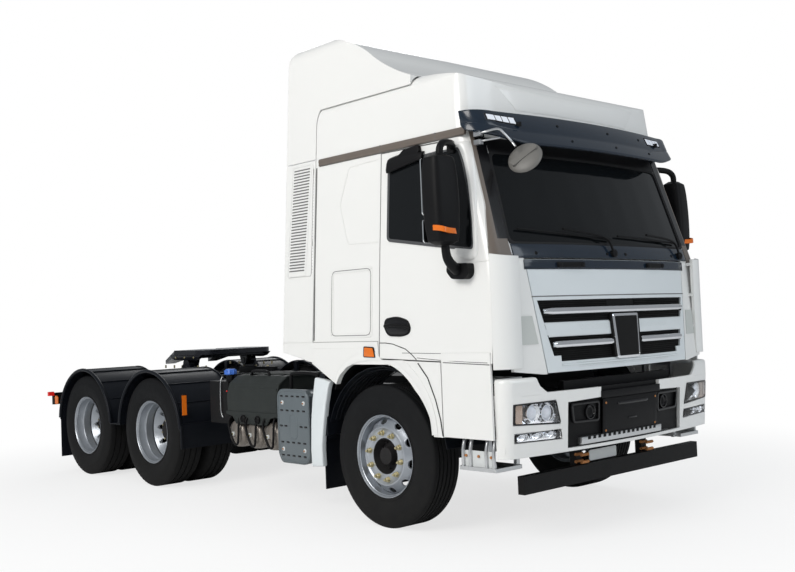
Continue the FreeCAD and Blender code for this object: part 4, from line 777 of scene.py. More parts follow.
def lugs(form, drive):
    """Raised shoulder blocks of a driven tyre, or fine edge nibs of a steered one."""
    ridge = AXLE_Z
    count = 60 if drive else 90
    for i in range(count):
        a = 2 * math.pi * i / count
        for side in (-1, 1):
            skew = side * 0.3 / count
            low, high = (ridge - 0.016, ridge - 0.0004) if drive else (ridge - 0.010, ridge - 0.0012)
            y0, y1 = (0.088, 0.122) if drive else (0.108, 0.1215)
            width = (0.55 if drive else 0.35) * math.pi / count * 2
            rows = []
            for y in (y0, y1):
                for r in (low, high if y == y0 else high - 0.005):
                    rows.append([(r * math.sin(a + s * width / 2 + skew), side * y,
                                  r * math.cos(a + s * width / 2 + skew))
                                 for s in (-1, 1)])
            pts = rows[0] + rows[1] + rows[2] + rows[3]
            form.put(pts, [(0, 1, 3, 2), (4, 6, 7, 5), (0, 2, 6, 4), (1, 5, 7, 3), (2, 3, 7, 6),
                           (0, 4, 5, 1)])
    return form


def rim_section(half=0.1145):
    """The rim's own section as (radius, along) pairs: flanges, bead seats and the well."""
    return [(0.2985, half + 0.013), (0.2955, half + 0.0135), (0.290, half + 0.007), (0.2858, half - 0.002),
            (0.2850, 0.045), (0.277, 0.030), (0.277, -0.030), (0.2850, -0.045), (0.2858, -half + 0.002),
            (0.290, -half - 0.007), (0.2955, -half - 0.0135), (0.2985, -half - 0.013), (0.294, -half - 0.004),
            (0.281, -half + 0.004), (0.276, -0.045), (0.268, -0.034), (0.268, 0.034), (0.276, 0.045),
            (0.281, half - 0.004), (0.294, half + 0.004)]


def nuts(form, radius, face, width, count=10, finish=1):
    """Domed six-sided nuts on washers, on studs that stand proud."""
    washer = ((0, 0), (0.62, 0), (0.62, 0.005), (0, 0.005))
    nut = ((0.56, 0.004), (0.56, 0.022), (0.40, 0.027), (0, 0.027))
    end = ((0.30, 0.024), (0.30, 0.040), (0.2, 0.044), (0, 0.044))
    for i in range(count):
        a = 2 * math.pi * (i + 0.5) / count
        local = shifted(about_axle, radius * math.cos(a), radius * math.sin(a))
        for profile, sides in ((washer, 16), (nut, 6), (end, 10)):
            form.turned([(width * share, face + rise) for share, rise in profile], local, sides, finish,
                        closed=False)
    return form


def hand_holes(circle, radius, low, high, squash, count=10, skew=0.5):
    """The cutters of a disc's hand holes, oval along the rim's edge."""
    form = Form()
    for i in range(count):
        a = 2 * math.pi * (i + skew) / count
        ring = []
        for k in range(20):
            b = 2 * math.pi * k / 20
            du, dv = radius * math.cos(b) * squash, radius * math.sin(b)
            ring.append((math.cos(a) * (circle + du) - math.sin(a) * dv,
                         math.sin(a) * (circle + du) + math.cos(a) * dv))
        form.prism(ring, about_axle, low, high)
    return form


def front_wheel_parts(width, circle):
    """The steered wheel's rim, outward disc with a raised ring, nuts, open hub and drum."""
    rim = Form().turned(rim_section(), about_axle, 96)
    disc = [(0.1305, 0.1142), (0.150, 0.1142), (0.186, 0.1142), (0.196, 0.1200), (0.203, 0.1250),
            (0.211, 0.1240), (0.219, 0.1160), (0.226, 0.1050), (0.245, 0.0900), (0.262, 0.0700),
            (0.2735, 0.052), (0.2735, 0.040), (0.262, 0.058), (0.243, 0.078), (0.219, 0.098), (0.205, 0.112),
            (0.186, 0.1000), (0.1305, 0.1000)]
    rim.join(bored(Form().turned(disc, about_axle, 120), hand_holes(0.2455, 0.031, 0.02, 0.16, squash=0.62)))
    nuts(rim, circle, 0.1142, width)
    hub = [(0.0, 0.118), (0.040, 0.118), (0.062, 0.112), (0.070, 0.060), (0.100, 0.052), (0.118, 0.090),
           (0.124, 0.1150), (0.129, 0.1150), (0.129, 0.050), (0.205, 0.048), (0.205, -0.094), (0.037, -0.094)]
    rim.turned(hub, about_axle, 64, 2, closed=False)
    for i in range(10):
        a = 2 * math.pi * i / 10
        local = shifted(about_axle, 0.098 * math.cos(a), 0.098 * math.sin(a))
        rim.turned([(0.0065, 0.052), (0.0065, 0.066), (0, 0.066)], local, 6, 2, closed=False)
    return rim


def rear_wheel_parts(width, circle):
    """A twin wheel: two rims, the deep dished disc with round holes, nuts, hub end and drum."""
    rim = Form()
    for side in (1, -1):
        rim.turned(rim_section(), lambda u, v, w, side=side: Vector((u, side * (0.17 + w), v)), 96)
    disc = [(0.1305, 0.0), (0.184, 0.0), (0.196, 0.006), (0.212, 0.020), (0.232, 0.052), (0.252, 0.085),
            (0.268, 0.108), (0.268, 0.122), (0.248, 0.100), (0.226, 0.066), (0.204, 0.034), (0.190, 0.016),
            (0.184, 0.012), (0.1305, 0.012)]
    rim.join(bored(Form().turned(disc, about_axle, 120), hand_holes(0.221, 0.0235, -0.02, 0.14, squash=0.92)))
    nuts(rim, circle, 0.012, width)
    web = [(0.205, -0.0555), (0.268, -0.0555), (0.268, -0.069), (0.205, -0.069)]
    rim.turned(web, about_axle, 64)
    hub = [(0.0, 0.138), (0.055, 0.138), (0.075, 0.128), (0.108, 0.120), (0.1115, 0.112), (0.1115, 0.012),
           (0.129, 0.010), (0.129, -0.002), (0.185, -0.002), (0.205, -0.075), (0.205, -0.239),
           (0.052, -0.239)]
    rim.turned(hub, about_axle, 64, 2, closed=False)
    for i in range(8):
        a = 2 * math.pi * i / 8
        local = shifted(about_axle, 0.094 * math.cos(a), 0.094 * math.sin(a))
        rim.turned([(0.009, 0.122), (0.009, 0.131), (0, 0.131)], local, 6, 1, closed=False)
    return rim


def moved(form, x, y, sign, spin=0.0):
    """A wheel form set at its axle, outward side out."""
    out = Form()
    c, s = math.cos(spin), math.sin(spin)
    for p in form.points:
        out.points.append(Vector((x + p.x * c - p.z * s, sign * (y + p.y), AXLE_Z + p.x * s + p.z * c)))
    out.faces = list(form.faces)
    out.finishes = list(form.finishes)
    return out


class TRUCK_OT_tyres(bpy.types.Operator):
    """Treaded tyres in place of the plain ones"""

    bl_idname = "truck.tyres"
    bl_label = "Tyres"

    def execute(self, context):
        sizes = context.scene.truck_wheels
        twins = (1.075, 0.735)
        for kind, x, ys, drive in (("front", AXLE_X, (1.05,), False), ("mid", MID_X, twins, True),
                                   ("rear", LAST_X, twins, True)):
            plain = lugs(tyre_form(sizes.steps, sizes.tread_depth, drive), drive)
            many = "" if kind == "front" else "s"
            for side, sign in SIDES:
                form = Form()
                for y in ys:
                    form.join(moved(plain, x, y, sign, 0.4 * y))
                made = piece(f"{kind}_{side}_tread", form, "tyre", f"{kind}_{side}_wheel{many}", "tyre",
                             smooth=40)
                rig.replaces(made, f"{kind}_tyre{many}_{side}")
        return {"FINISHED"}


class TRUCK_OT_rims(bpy.types.Operator):
    """Silver rims with hand holes, nuts and hubs in place of the plain ones"""

    bl_idname = "truck.rims"
    bl_label = "Rims"

    def execute(self, context):
        sizes = context.scene.truck_wheels
        steered = front_wheel_parts(sizes.nut_width, sizes.nut_circle)
        driven = rear_wheel_parts(sizes.nut_width, sizes.nut_circle)
        for kind, x, y, spin, form in (("front", AXLE_X, 1.05, 0.13, steered),
                                       ("mid", MID_X, 0.905, 0.25, driven),
                                       ("rear", LAST_X, 0.905, 0.4, driven)):
            many = "" if kind == "front" else "s"
            for side, sign in SIDES:
                made = piece(f"{kind}_{side}_rim", moved(form, x, y, sign, spin), ["wheel", "nut", "cast"],
                             f"{kind}_{side}_wheel{many}", "wheel_silver", smooth=35)
                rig.replaces(made, f"{kind}_rim{many}_{side}")
        return {"FINISHED"}


# cab

def round_corner(z, start_x, end_y, out, sign):
    """Points of the cab's skin at a height, from a place on the side to a place on the front."""
    arc, _, chord = plan(CAB_ROWS, z, CAB_CORNER)
    cx, cy, big = arc[0][0], side_y(z) - CAB_CORNER, CAB_CORNER + out
    on_flat = start_x <= cx
    first = QUARTER if on_flat else math.acos(min(1.0, (start_x - cx) / CAB_CORNER))
    line = [(start_x + (cx - start_x) * i / 3 if on_flat else cx + big * math.cos(first),
             cy + big * math.sin(first)) for i in range(3)]
    for i in range(11):
        a = first + (TURN - first) * i / 10
        line.append((cx + big * math.cos(a), cy + big * math.sin(a)))
    last = line[-1][1]
    for i in range(1, 5):
        y = last + (end_y - last) * i / 4
        line.append((front_x(min(y, chord), z) + out, y))
    return [at(x, sign * y, z) for x, y in line]


def screen_edge(z):
    """Half width of the windscreen opening at a height."""
    return 1.04 - (z - 1.965) * 0.0866


def door_edge(z):
    """Front edge of the door opening at a height."""
    return 1.137 - max(0.0, z - 1.835) * 0.4114 if z < 2.63 else 0.81 - (z - 2.63) * 1.3


def seen_edge(z):
    """Front edge of the door's skin at a height, where it bows round the pillar."""
    line = ((1.80, 1.122), (1.91, 1.106), (1.974, 1.094), (2.152, 1.058), (2.321, 1.025), (2.519, 0.970),
            (2.64, 0.925), (2.80, 0.860))
    return min(on_line(line, z), plan(CAB_ROWS, z, CAB_CORNER)[0][0][0] + 0.078)


def on_corner(sign):
    """Outline in length and height, laid on the cab's side and on round its front corner."""
    side = on_side(sign)

    def place(u, v, w):
        cx, cy = plan(CAB_ROWS, v, CAB_CORNER)[0][0][0], side_y(v) - CAB_CORNER
        if u <= cx:
            return side(u, v, w)
        a = math.acos(min(0.98, (u - cx) / CAB_CORNER))
        return at(cx + (CAB_CORNER + w) * math.cos(a), sign * (cy + (CAB_CORNER + w) * math.sin(a)), v)
    return place


def handle_form(sign):
    """The recessed door handle: a black oval dish with its bar."""
    place = on_side(sign)
    dish = rounded([(0.108, 1.447), (0.125, 1.507), (0.25, 1.521), (0.375, 1.487), (0.395, 1.400),
                    (0.31, 1.375), (0.155, 1.380)], 0.05, 6)
    form = Form().prism(dish, place, -0.012, 0.004)
    form.prism(shrunk(dish, 0.018), place, -0.011, 0.0055, 1)
    form.rod([place(0.125, 1.452, 0.006), place(0.20, 1.458, 0.016), place(0.32, 1.448, 0.015),
              place(0.385, 1.432, 0.005)], 0.013, 12, 2, smooth=5)
    return form


class TRUCK_OT_side_trim(bpy.types.Operator):
    """Gutters, pillar trim, seams, window seals, deflectors and handles of the cab's sides"""

    bl_idname = "truck.side_trim"
    bl_label = "Side Trim"

    def execute(self, context):
        for side, sign in SIDES:
            for step in (self.gutter, self.louvre, self.seams, self.marker, self.window, self.window_frame,
                         self.deflector, self.door_details):
                step(side, sign, on_side(sign))
        return {"FINISHED"}

    def gutter(self, side, sign, place):
        """The gutter over the door and the trim down the windscreen pillar."""
        gutter = Form()
        z = 2.738
        section = ((0.028, -0.004), (0.027, 0.006), (0.018, 0.014), (0.004, 0.016), (-0.008, 0.011),
                   (-0.020, 0.013), (-0.027, 0.008), (-0.028, -0.004))
        places = [-0.655 + i * 0.1 for i in range(16)] + [0.90]
        rows = [[place(u, z + dv, w) for dv, w in section] for u in places]
        gutter.grid(rows, 0, True)
        gutter.put(rows[0], [tuple(range(8))])
        y = sign * (side_y(2.74) + 0.004)
        for u in (0.055, 0.62):
            gutter.box(at(u, y - 0.010, 2.712), at(u + 0.006, y + 0.013, 2.765), 1)
        levels = [1.856 + (2.766 - 1.856) * i / 26 for i in range(27)]
        skins = [[round_corner(z, seen_edge(z), screen_edge(max(z, 1.965)) + 0.012, out, sign) for z in levels]
                 for out in (0.006, -0.004)]
        for first, last, start, stop, finish in ((0, 27, 0, 13, 0), (0, 5, 12, 18, 0), (4, 27, 12, 18, 2)):
            plated(gutter, *([row[start:stop] for row in skin[first:last]] for skin in skins), finish)
        ribbon(gutter, [(-0.655, 2.709), (0.88, 2.709)], place, 0.006, -0.003, 0.003, 1)
        piece(f"{side}_gutter_trim", gutter, ["trim", "seam", "gloss black"], "cab", "black_trim",
              smooth=40)

    def louvre(self, side, sign, place):
        """The slatted panel behind the door."""
        louvre = Form()
        louvre.prism(rounded([(-1.040, 1.862), (-0.735, 1.862), (-0.735, 2.745), (-1.005, 2.745)], 0.02, 3),
                     place, -0.004, 0.0035)
        for k in range(35):
            t = (k + 0.5) / 35
            z, left, right = 1.895 + 0.822 * t, -1.015 + 0.040 * t, -0.822 + 0.050 * t
            slat = [(left, z), (right, z), (right, z + 0.0105), (left, z + 0.0105)]
            louvre.prism(slat, place, 0.0, 0.0042, 1)
        ribbon(louvre, rounded([(-1.030, 1.868), (-0.802, 1.868), (-0.752, 2.738), (-0.992, 2.738)], 0.02, 3),
               place, 0.005, -0.002, 0.0052, 0, True)
        piece(f"{side}_louvre", louvre, ["paint", "seam"], "cab", "body_white")

    def seams(self, side, sign, place):
        """Panel seams of the cab's side and the rim of the locker lid."""
        seams = Form()
        ribbon(seams, [(0.062, 1.235), (0.062, 2.70)], place, 0.007, -0.004, 0.0012)
        blind = [(0.052, 2.67), (-0.30, 2.655), (-0.40, 2.38), (-0.30, 2.075), (0.052, 2.06)]
        ribbon(seams, rounded(blind, 0.03, 4)[3:-3], place, 0.009, -0.002, 0.0016, 1)
        ribbon(seams, [(-0.70, 1.345), (0.05, 1.345)], place, 0.006, -0.003, 0.0012)
        rim = Form()
        lid = (-0.478, -0.032, 1.392, 1.878)
        ribbon(rim, tablet(*lid, 0.012, 3), place, 0.034, -0.003, 0.0022, 0, True)
        ribbon(rim, tablet(*lid, 0.05, 5), place, 0.0045, -0.003, 0.0032, 1, True)
        piece(f"{side}_lid_rim", rim, ["paint", "seam"], f"{side}_lid", "body_white")
        seams.rod([place(-0.69, z, 0.001) for z in (1.36, 1.8, 2.3, 2.70)], 0.006, 8)
        piece(f"{side}_cab_seams", seams, ["seam", "paint"], "cab", "black_trim")

    def marker(self, side, sign, place):
        """The orange side lamp low behind the door."""
        mark = Form()
        low = rounded([(-0.105, 1.232), (0.03, 1.228), (0.012, 1.306), (-0.098, 1.312)], 0.012, 3)
        mark.prism(low, beside(sign, SILL_Y), -0.001, 0.006)
        mark.prism(shrunk(low, 0.012), beside(sign, SILL_Y), 0.0, 0.0085, 1)
        piece(f"{side}_marker", mark, ["gloss black", "orange"], "cab", "lamp_glass", bevel=0.001)

    def window(self, side, sign, place):
        """The door's dark pane and its seal."""
        window = rounded([(0.150, 2.066), (0.962, 1.937), (0.982, 1.966), (0.968, 2.15), (0.938, 2.33),
                          (0.885, 2.53), (0.845, 2.618), (0.810, 2.634), (0.150, 2.606)], 0.03, 5)
        window = [q for p, n in zip(window, window[1:] + window[:1]) for q in
                  [(p[0] + (n[0] - p[0]) * k / 4, p[1] + (n[1] - p[1]) * k / 4) for k in range(4)]]
        pane = Form().prism(window, on_corner(sign), -0.006, 0.0045)
        made = piece(f"{side}_window_pane", pane, "glass", f"{side}_door", "tinted_glass")
        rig.replaces(made, f"door_glass_{side}")
        seal = ribbon(Form(), window, on_corner(sign), 0.022, -0.006, 0.0062, 0, True)
        piece(f"{side}_window_seal", seal, ["window rubber", "gloss black"], f"{side}_door", "black_trim")

    def window_frame(self, side, sign, place):
        """The raised white band round the window's front, and the door's skin bowed round the pillar."""
        band, bowed = Form(), on_corner(sign)
        near = [(0.62, 2.630), (0.80, 2.634), (0.845, 2.622), (0.887, 2.535), (0.915, 2.44), (0.940, 2.33),
                (0.968, 2.15), (0.978, 2.04), (0.984, 1.97), (0.976, 1.942), (0.945, 1.939), (0.80, 1.964)]
        far = [(0.62, 2.666), (0.83, 2.668), (0.902, 2.660), (0.935, 2.575), (0.962, 2.45), (0.986, 2.33),
               (1.010, 2.16), (1.020, 2.04), (1.024, 1.95), (1.006, 1.885), (0.93, 1.868), (0.80, 1.932)]
        near, far = (eased([Vector((u, v, 0)) for u, v in line], 5) for line in (near, far))
        crest = ((0, 0.35), (0.12, 0.75), (0.4, 1.0), (0.7, 0.8), (0.9, 0.35), (1, 0.0))
        rows_out, rows_in = [], []
        for i, (p, q) in enumerate(zip(near, far)):
            full = min(1.0, i / 6, (len(near) - 1 - i) / 8)
            spots = [(p.x + (q.x - p.x) * k, p.y + (q.y - p.y) * k, h) for k, h in crest]
            rows_out.append([bowed(u, v, 0.0035 + (0.002 + 0.012 * full) * h) for u, v, h in spots])
            rows_in.append([bowed(u, v, -0.001) for u, v, _ in spots])
        runs = []
        for z in [1.850 + 0.816 * i / 20 for i in range(21)]:
            start = max(min(door_edge(z) - 0.05, 0.99), 0.90 - (z - 2.3) * 0.1)
            runs.append([(start + (seen_edge(z) - 0.004 - start) * k / 8, z) for k in range(9)])
        plated(band, *([[bowed(u, v, w) for u, v in run] for run in runs] for w in (0.0030, -0.001)))
        plated(band, rows_out, rows_in)
        piece(f"{side}_window_frame", band, "paint", f"{side}_door", "body_white", smooth=50)

    def deflector(self, side, sign, place):
        """The wind deflector over the window."""
        shield = Form()
        rows_out, rows_in = [], []
        for t in range(7):
            s = t / 6
            u = 0.155 + 0.36 * s
            top = 2.655 + 0.018 * math.sin(math.pi * s)
            low = 2.545 + 0.055 * s
            rows_out.append([place(u, top + (low - top) * k, 0.006 + h) for k, h in
                             ((0, 0.0), (0.15, 0.020), (0.45, 0.030), (0.8, 0.034), (1, 0.030))])
            rows_in.append([place(u, top + (low - top) * k, 0.002 + h * 0.7) for k, h in
                            ((0, -0.004), (0.15, 0.012), (0.45, 0.022), (0.8, 0.026), (1, 0.022))])
        plated(shield, rows_out, rows_in)
        fin = rounded([(0.27, 2.655), (0.32, 2.69), (0.47, 2.706), (0.485, 2.66), (0.44, 2.625),
                       (0.30, 2.628)], 0.012, 3)
        shield.prism(fin, place, 0.0, 0.030)
        piece(f"{side}_window_deflector", shield, "black", f"{side}_door", "black_trim", bevel=0.003,
              smooth=45)

    def door_details(self, side, sign, place):
        """The handle and the thin lines pressed in the door."""
        body = f"{side}_door"
        piece(f"{side}_handle", handle_form(sign), ["black", "gloss black", "black"], body, "black_trim",
              bevel=0.002)
        lines = Form()
        ribbon(lines, [(0.70, 1.197), (1.118, 1.183)], beside(sign, SILL_Y), 0.006, -0.003, 0.0012)
        ribbon(lines, [(0.30, 1.262), (1.10, 1.252)], place, 0.004, -0.003, 0.0008)
        piece(f"{side}_door_lines", lines, "seam", body, "black_trim")


class TRUCK_OT_screen_trim(bpy.types.Operator):
    """Windscreen seal, cowl with its wipers and a black strip of painted shade under the visor, visor creases, marker
    lamps and the roof's raised board
    """

    bl_idname = "truck.screen_trim"
    bl_label = "Screen Trim"

    def execute(self, context):
        for step in (self.seal, self.cowl, self.wipers, self.visor, self.board):
            step()
        return {"FINISHED"}

    def seal(self):
        """The rubber round the windscreen."""
        screen = rounded([(-1.043, 1.962), (1.043, 1.962), (0.988, 2.602), (-0.988, 2.602)], 0.07, 8)
        path = []
        for i, p in enumerate(screen):
            q = screen[(i + 1) % len(screen)]
            steps = 14 if abs(q[0] - p[0]) > 0.5 else 1
            path += [(p[0] + (q[0] - p[0]) * k / steps, p[1] + (q[1] - p[1]) * k / steps)
                     for k in range(steps)]
        seal = ribbon(Form(), path, on_front, 0.030, -0.010, 0.0035, 0, True)
        piece("windscreen_seal", seal, "rubber seal", "cab", "black_trim")

    def cowl(self):
        """The dark blue panel below the windscreen, and a black strip above it that is painted shade of the visor."""
        cowl = Form()
        patch(cowl, -1.035, 1.035, 1.868, 1.962, on_front, -0.004, 0.0072, 24, 3)
        # Painted shade: a black strip where the visor shades the front above the windscreen.
        patch(cowl, -0.985, 0.985, 2.600, 2.70, on_front, -0.004, 0.005, 24, 3, 1)
        for y in (-0.84, -0.12, 0.10, 0.78):
            stud(cowl, on_front, y, 1.90, 0.0, 0.012, 0.012, 12, 1)
        piece("cowl", cowl, ["visor", "black"], "cab", "visor_blue", bevel=0.002)

    def wipers(self):
        """Two wipers with bent arms and long blades."""
        wipers, n = Form(), 14
        for base, elbow, tip, low in ((-0.055, -0.14, -0.95, 2.06), (0.90, 0.82, 0.06, 2.03)):
            start = on_front(base, 1.905, 0.018)
            wipers.rod([start, on_front(base - 0.02, 1.93, 0.034), on_front(elbow, 2.02, 0.036),
                        on_front((elbow + tip) / 2, (2.02 + low) / 2 + 0.03, 0.030)], 0.0085, 10, 0, smooth=6)
            heel = elbow + 0.10
            blade = [on_front(heel + (tip - heel) * k / n, 2.005 + (low - 2.0) * k / n, 0.016)
                     for k in range(n + 1)]
            wipers.rod(blade, 0.008, 6)
            wipers.turned([(0.028, -0.01), (0.028, 0.014), (0.014, 0.024), (0.0, 0.026)],
                          lambda u, v, w, s=start: s + Vector((w, u, v)), 20, 0, closed=False)
        piece("wipers", wipers, "black", "cab", "black_trim")

    def board(self):
        """The bare raised board on the roof's front."""
        board = Form()
        rows_out, rows_in = [], []
        for j in range(13):
            t = j / 12
            z = 2.918 + 0.235 * t
            half = 0.655 + 0.26 * t ** 1.2
            edge = lambda i: min(1.0, min(i, 24 - i) / 2, j / 1.5, (12 - j) / 3)
            rows_out.append([self.roof(-half + 2 * half * i / 24, z, 0.0004 + 0.0045 * edge(i))
                             for i in range(25)])
            rows_in.append([self.roof(-half + 2 * half * i / 24, z, -0.004) for i in range(25)])
        plated(board, rows_out, rows_in)
        piece("roof_board", board, "paint", "cab", "body_white", smooth=60)

    def roof(self, y, z, out):
        """A point on the sloping front of the roof above the visor."""
        x = on_line(((2.76, 1.010), (2.93, 0.975), (3.07, 0.925), (3.155, 0.780)), z)
        bulge = 0.010 * math.sin(math.pi * min(1, max(0, (z - 2.93) / 0.14))) if z < 3.07 else 0.0
        return at(min(x + bulge, front_x(y, z)) + out, y, z)

    def visor(self):
        """The visor's bent blade with a rising lower edge, its creases, clips and marker lamps."""
        def side(t):
            """Place along the blade, from 0 in the middle to 1 at the end, as (reach, side)."""
            half, corner, front = 1.165, 0.190, 1.208
            chord = half - corner * (1 - math.sin(TURN))
            big = chord / math.sin(TURN)
            if t < 0.78:
                y = chord * t / 0.78
                return front - big + math.sqrt(big * big - y * y), y
            cx = front - chord * math.tan(TURN / 2) - corner * math.cos(TURN)
            if t < 0.93:
                a = TURN + (math.pi / 2 - TURN) * (t - 0.78) / 0.15
                return cx + corner * math.cos(a), half - corner + corner * math.sin(a)
            return cx - (t - 0.93) / 0.07 * 0.028, half

        def place(u, v, w):
            t = min(1.0, abs(u))
            x, y = side(t)
            rise = max(0.0, (t - 0.60) / 0.40) ** 1.5 * 0.126
            x2, y2 = side(min(1.0, t + 0.004))
            x1, y1 = side(max(0.0, t - 0.004))
            d = Vector((x2 - x1, y2 - y1)).normalized()
            z = 2.640 + rise + (0.226 - rise * 0.95) * v
            fade = min(1.0, max(0.0, (t - 0.74) / 0.26))
            lean = 0.120 * (z - 2.640) / 0.226 * (1 - 0.68 * fade * fade * (3 - 2 * fade))
            up = 0.47 * (1 if t < 0.9 else 0.3)
            return at(x - lean + d.y * w * 0.88, math.copysign(y - d.x * w, u if u else 1.0), z + w * up)

        trim = Form()
        marks = [-1 + 2 * k / 100 for k in range(101)]
        face = [(0.0, 0.0), (0.04, 0.006), (0.35, 0.003), (0.40, 0.0), (0.44, 0.003), (0.94, 0.005),
                (1.0, 0.0)]
        plated(trim, [[place(u, v, w) for u in marks] for v, w in face],
               [[place(u, v, -0.012) for u in marks] for v, _ in face])
        for y in (-0.82, -0.30, 0.30, 0.82):
            trim.box(at(0.96, y - 0.010, 2.765), at(1.105, y + 0.010, 2.795), 1)
        unit = 0.78 / 0.985
        for v, spots in ((0.70, (-0.86, -0.42, 0.14, 0.57)), (0.22, (-0.34, 0.16, 0.63))):
            for y in spots:
                stud(trim, place, y * unit, v, -0.002, 0.008, 0.010, 12, 1)
        for y in (-0.915, 0.80):
            for k in range(4):
                a = y - 0.11 + 0.055 * k
                patch(trim, a * unit, (a + 0.046) * unit, 0.60, 0.80, place, 0.0, 0.009, 2, 2, 2)
            patch(trim, (y - 0.118) * unit, (y + 0.112) * unit, 0.56, 0.84, place, -0.002, 0.0065, 4, 2, 1)
        made = piece("visor_blade", trim, ["visor", "black", "white lens"], "cab", "visor_blue",
                     smooth=30)
        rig.replaces(made, "sun_visor")


def mirror_housing(sign):
    """A door mirror: a rounded tall housing with its glass, amber strip and two arms."""
    form = Form()
    rows = []
    for j in range(25):
        t = j / 24
        z = 1.962 + 0.596 * t
        ease = math.sin(math.pi * t) ** 0.22 if 0 < t < 1 else 0.0
        wide = 0.5 * 0.204 * (0.55 + 0.45 * ease) if 0 < t < 1 else 0.048
        deep = 0.5 * 0.172 * (0.45 + 0.55 * ease) if 0 < t < 1 else 0.030
        lean = 0.018 * (t - 0.5)
        ring = []
        for k in range(40):
            a = 2 * math.pi * k / 40
            c, s = math.cos(a), math.sin(a)
            u = math.copysign(abs(c) ** 0.42, c) * wide
            v = math.copysign(abs(s) ** (0.55 if s > 0 else 0.28), s) * deep
            if s > 0:
                v *= 1 - 0.18 * (u / wide)
            ring.append(at(0.896 + v - lean, sign * (1.402 + u), z))
        rows.append(ring)
    form.grid(rows, 0, True)
    form.put(rows[0], [tuple(range(40))])
    form.put(rows[-1], [tuple(range(40))[::-1]])
    for z0, z1 in ((1.985, 2.135), (2.165, 2.535)):
        form.prism(tablet(1.316, 1.488, z0, z1, 0.02, 4),
                   lambda u, v, w: at(w, sign * u, v), 0.803, 0.8125, 1)
    rows_out, rows_in = [], []
    for j in range(5):
        line_out, line_in = [], []
        for k in range(19):
            a = math.radians(104 - 101 * k / 18)
            c, sn = math.cos(a), math.sin(a)
            u = -math.copysign(abs(c) ** 0.42, c) * 0.102
            v = abs(sn) ** 0.55 * 0.086 * (1 - 0.18 * u / 0.102)
            z = 2.030 + 0.0085 * j + 0.026 * k / 18
            lean = 0.018 * ((z - 1.962) / 0.596 - 0.5)
            line_out.append(at(0.896 + v - lean + 0.0035, sign * (1.402 - u), z))
            line_in.append(at(0.896 + v - lean - 0.006, sign * (1.402 - u), z))
        rows_out.append(line_out)
        rows_in.append(line_in)
    plated(form, rows_out, rows_in, 2)
    upper = [at(0.890, sign * 1.392, 2.540), at(0.890, sign * 1.385, 2.604), at(0.875, sign * 1.335, 2.642),
             at(0.835, sign * 1.235, 2.652), at(0.790, sign * 1.160, 2.640)]
    lower = [at(0.900, sign * 1.385, 1.985), at(0.902, sign * 1.372, 1.890), at(0.900, sign * 1.330, 1.838),
             at(0.890, sign * 1.270, 1.805)]
    form.rod(upper, 0.024, 14, 0, smooth=5)
    form.rod(lower, lambda t: 0.026 + 0.012 * t, 14, 0, smooth=5)
    foot = rounded([(0.790, 1.800), (0.800, 1.855), (0.985, 1.845), (0.990, 1.775), (0.955, 1.740),
                    (0.84, 1.748)], 0.02, 4)
    form.prism(foot, on_side(sign), 0.0, 0.062)
    form.prism(rounded([(0.745, 2.605), (0.745, 2.664), (0.815, 2.656), (0.808, 2.598)], 0.01, 3),
               on_side(sign), 0.0, 0.020)
    return form


class TRUCK_OT_mirrors(bpy.types.Operator):
    """Rounded door mirrors and the round kerb mirror on its rod"""

    bl_idname = "truck.mirrors"
    bl_label = "Mirrors"

    def execute(self, context):
        for side, sign in SIDES:
            made = piece(f"{side}_mirror_housing", mirror_housing(sign),
                         ["black", "mirror", "orange"], f"{side}_door", "black_trim", smooth=35)
            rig.replaces(made, f"mirror_{side}")
        centre = at(1.200, -0.900, 2.527)
        back = Vector((0.25, -0.825, 0.506)).normalized()
        side = back.orthogonal().normalized()
        other = back.cross(side)
        place = lambda u, v, w: centre + side * u + other * v + back * w
        form = Form()
        shell = [(0.117, -0.004), (0.120, 0.001), (0.118, 0.009), (0.104, 0.020), (0.070, 0.030),
                 (0.030, 0.034), (0, 0.035)]
        form.turned(shell, place, 48, 0, closed=False)
        form.turned([(0, -0.0065), (0.108, -0.0045)], place, 48, 1, closed=False)
        form.turned([(0.108, -0.0065), (0.117, -0.004), (0.108, -0.0035)], place, 48, 2)
        form.prism(tablet(-0.10, 0.10, -0.024, 0.024, 0.012, 3), place, 0.022, 0.040)
        rod = [at(1.000, -1.120, 2.700), at(1.050, -1.110, 2.708), at(1.105, -1.052, 2.722),
               at(1.13, -1.02, 2.690), at(1.150, -0.975, 2.640),
               centre + Vector((-0.03, -0.045, 0.06)) + back * 0.030]
        form.rod(rod, 0.0085, 10, 3, smooth=6)
        form.rod([at(0.995, -1.120, 2.645), at(1.05, -1.115, 2.650), at(1.105, -1.035, 2.665)], 0.007, 8, 3,
                 smooth=4)
        for z in (2.700, 2.645):
            form.box(at(0.960, -1.135, z - 0.016), at(1.015, -1.100, z + 0.016), 3)
        made = piece("kerb_mirror_disc", form, ["hazy", "mirror", "black", "bright"],
                     "cab", "black_trim", smooth=40)
        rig.replaces(made, "kerb_mirror")
        return {"FINISHED"}


# the cab's front

def along_bar(form, y0, y1, z0, z1, radius, proud, finish=0, place=on_front, steps=24, flat=0.55):
    """A rounded bar laid across the bowed front."""
    rows = []
    for i in range(steps + 1):
        t = i / steps
        y, z = y0 + (y1 - y0) * t, z0 + (z1 - z0) * t
        small = 0.7 if i in (0, steps) else 1.0
        rows.append([place(y, z + radius * small * math.sin(2 * math.pi * k / 16),
                           proud + radius * flat * small * math.cos(2 * math.pi * k / 16))
                     for k in range(16)])
    form.grid(rows, finish, True)
    base = len(form.points) - len(rows) * 16
    form.faces += [tuple(range(base, base + 16)), tuple(range(len(form.points) - 16, len(form.points)))[::-1]]
    form.finishes += [finish, finish]


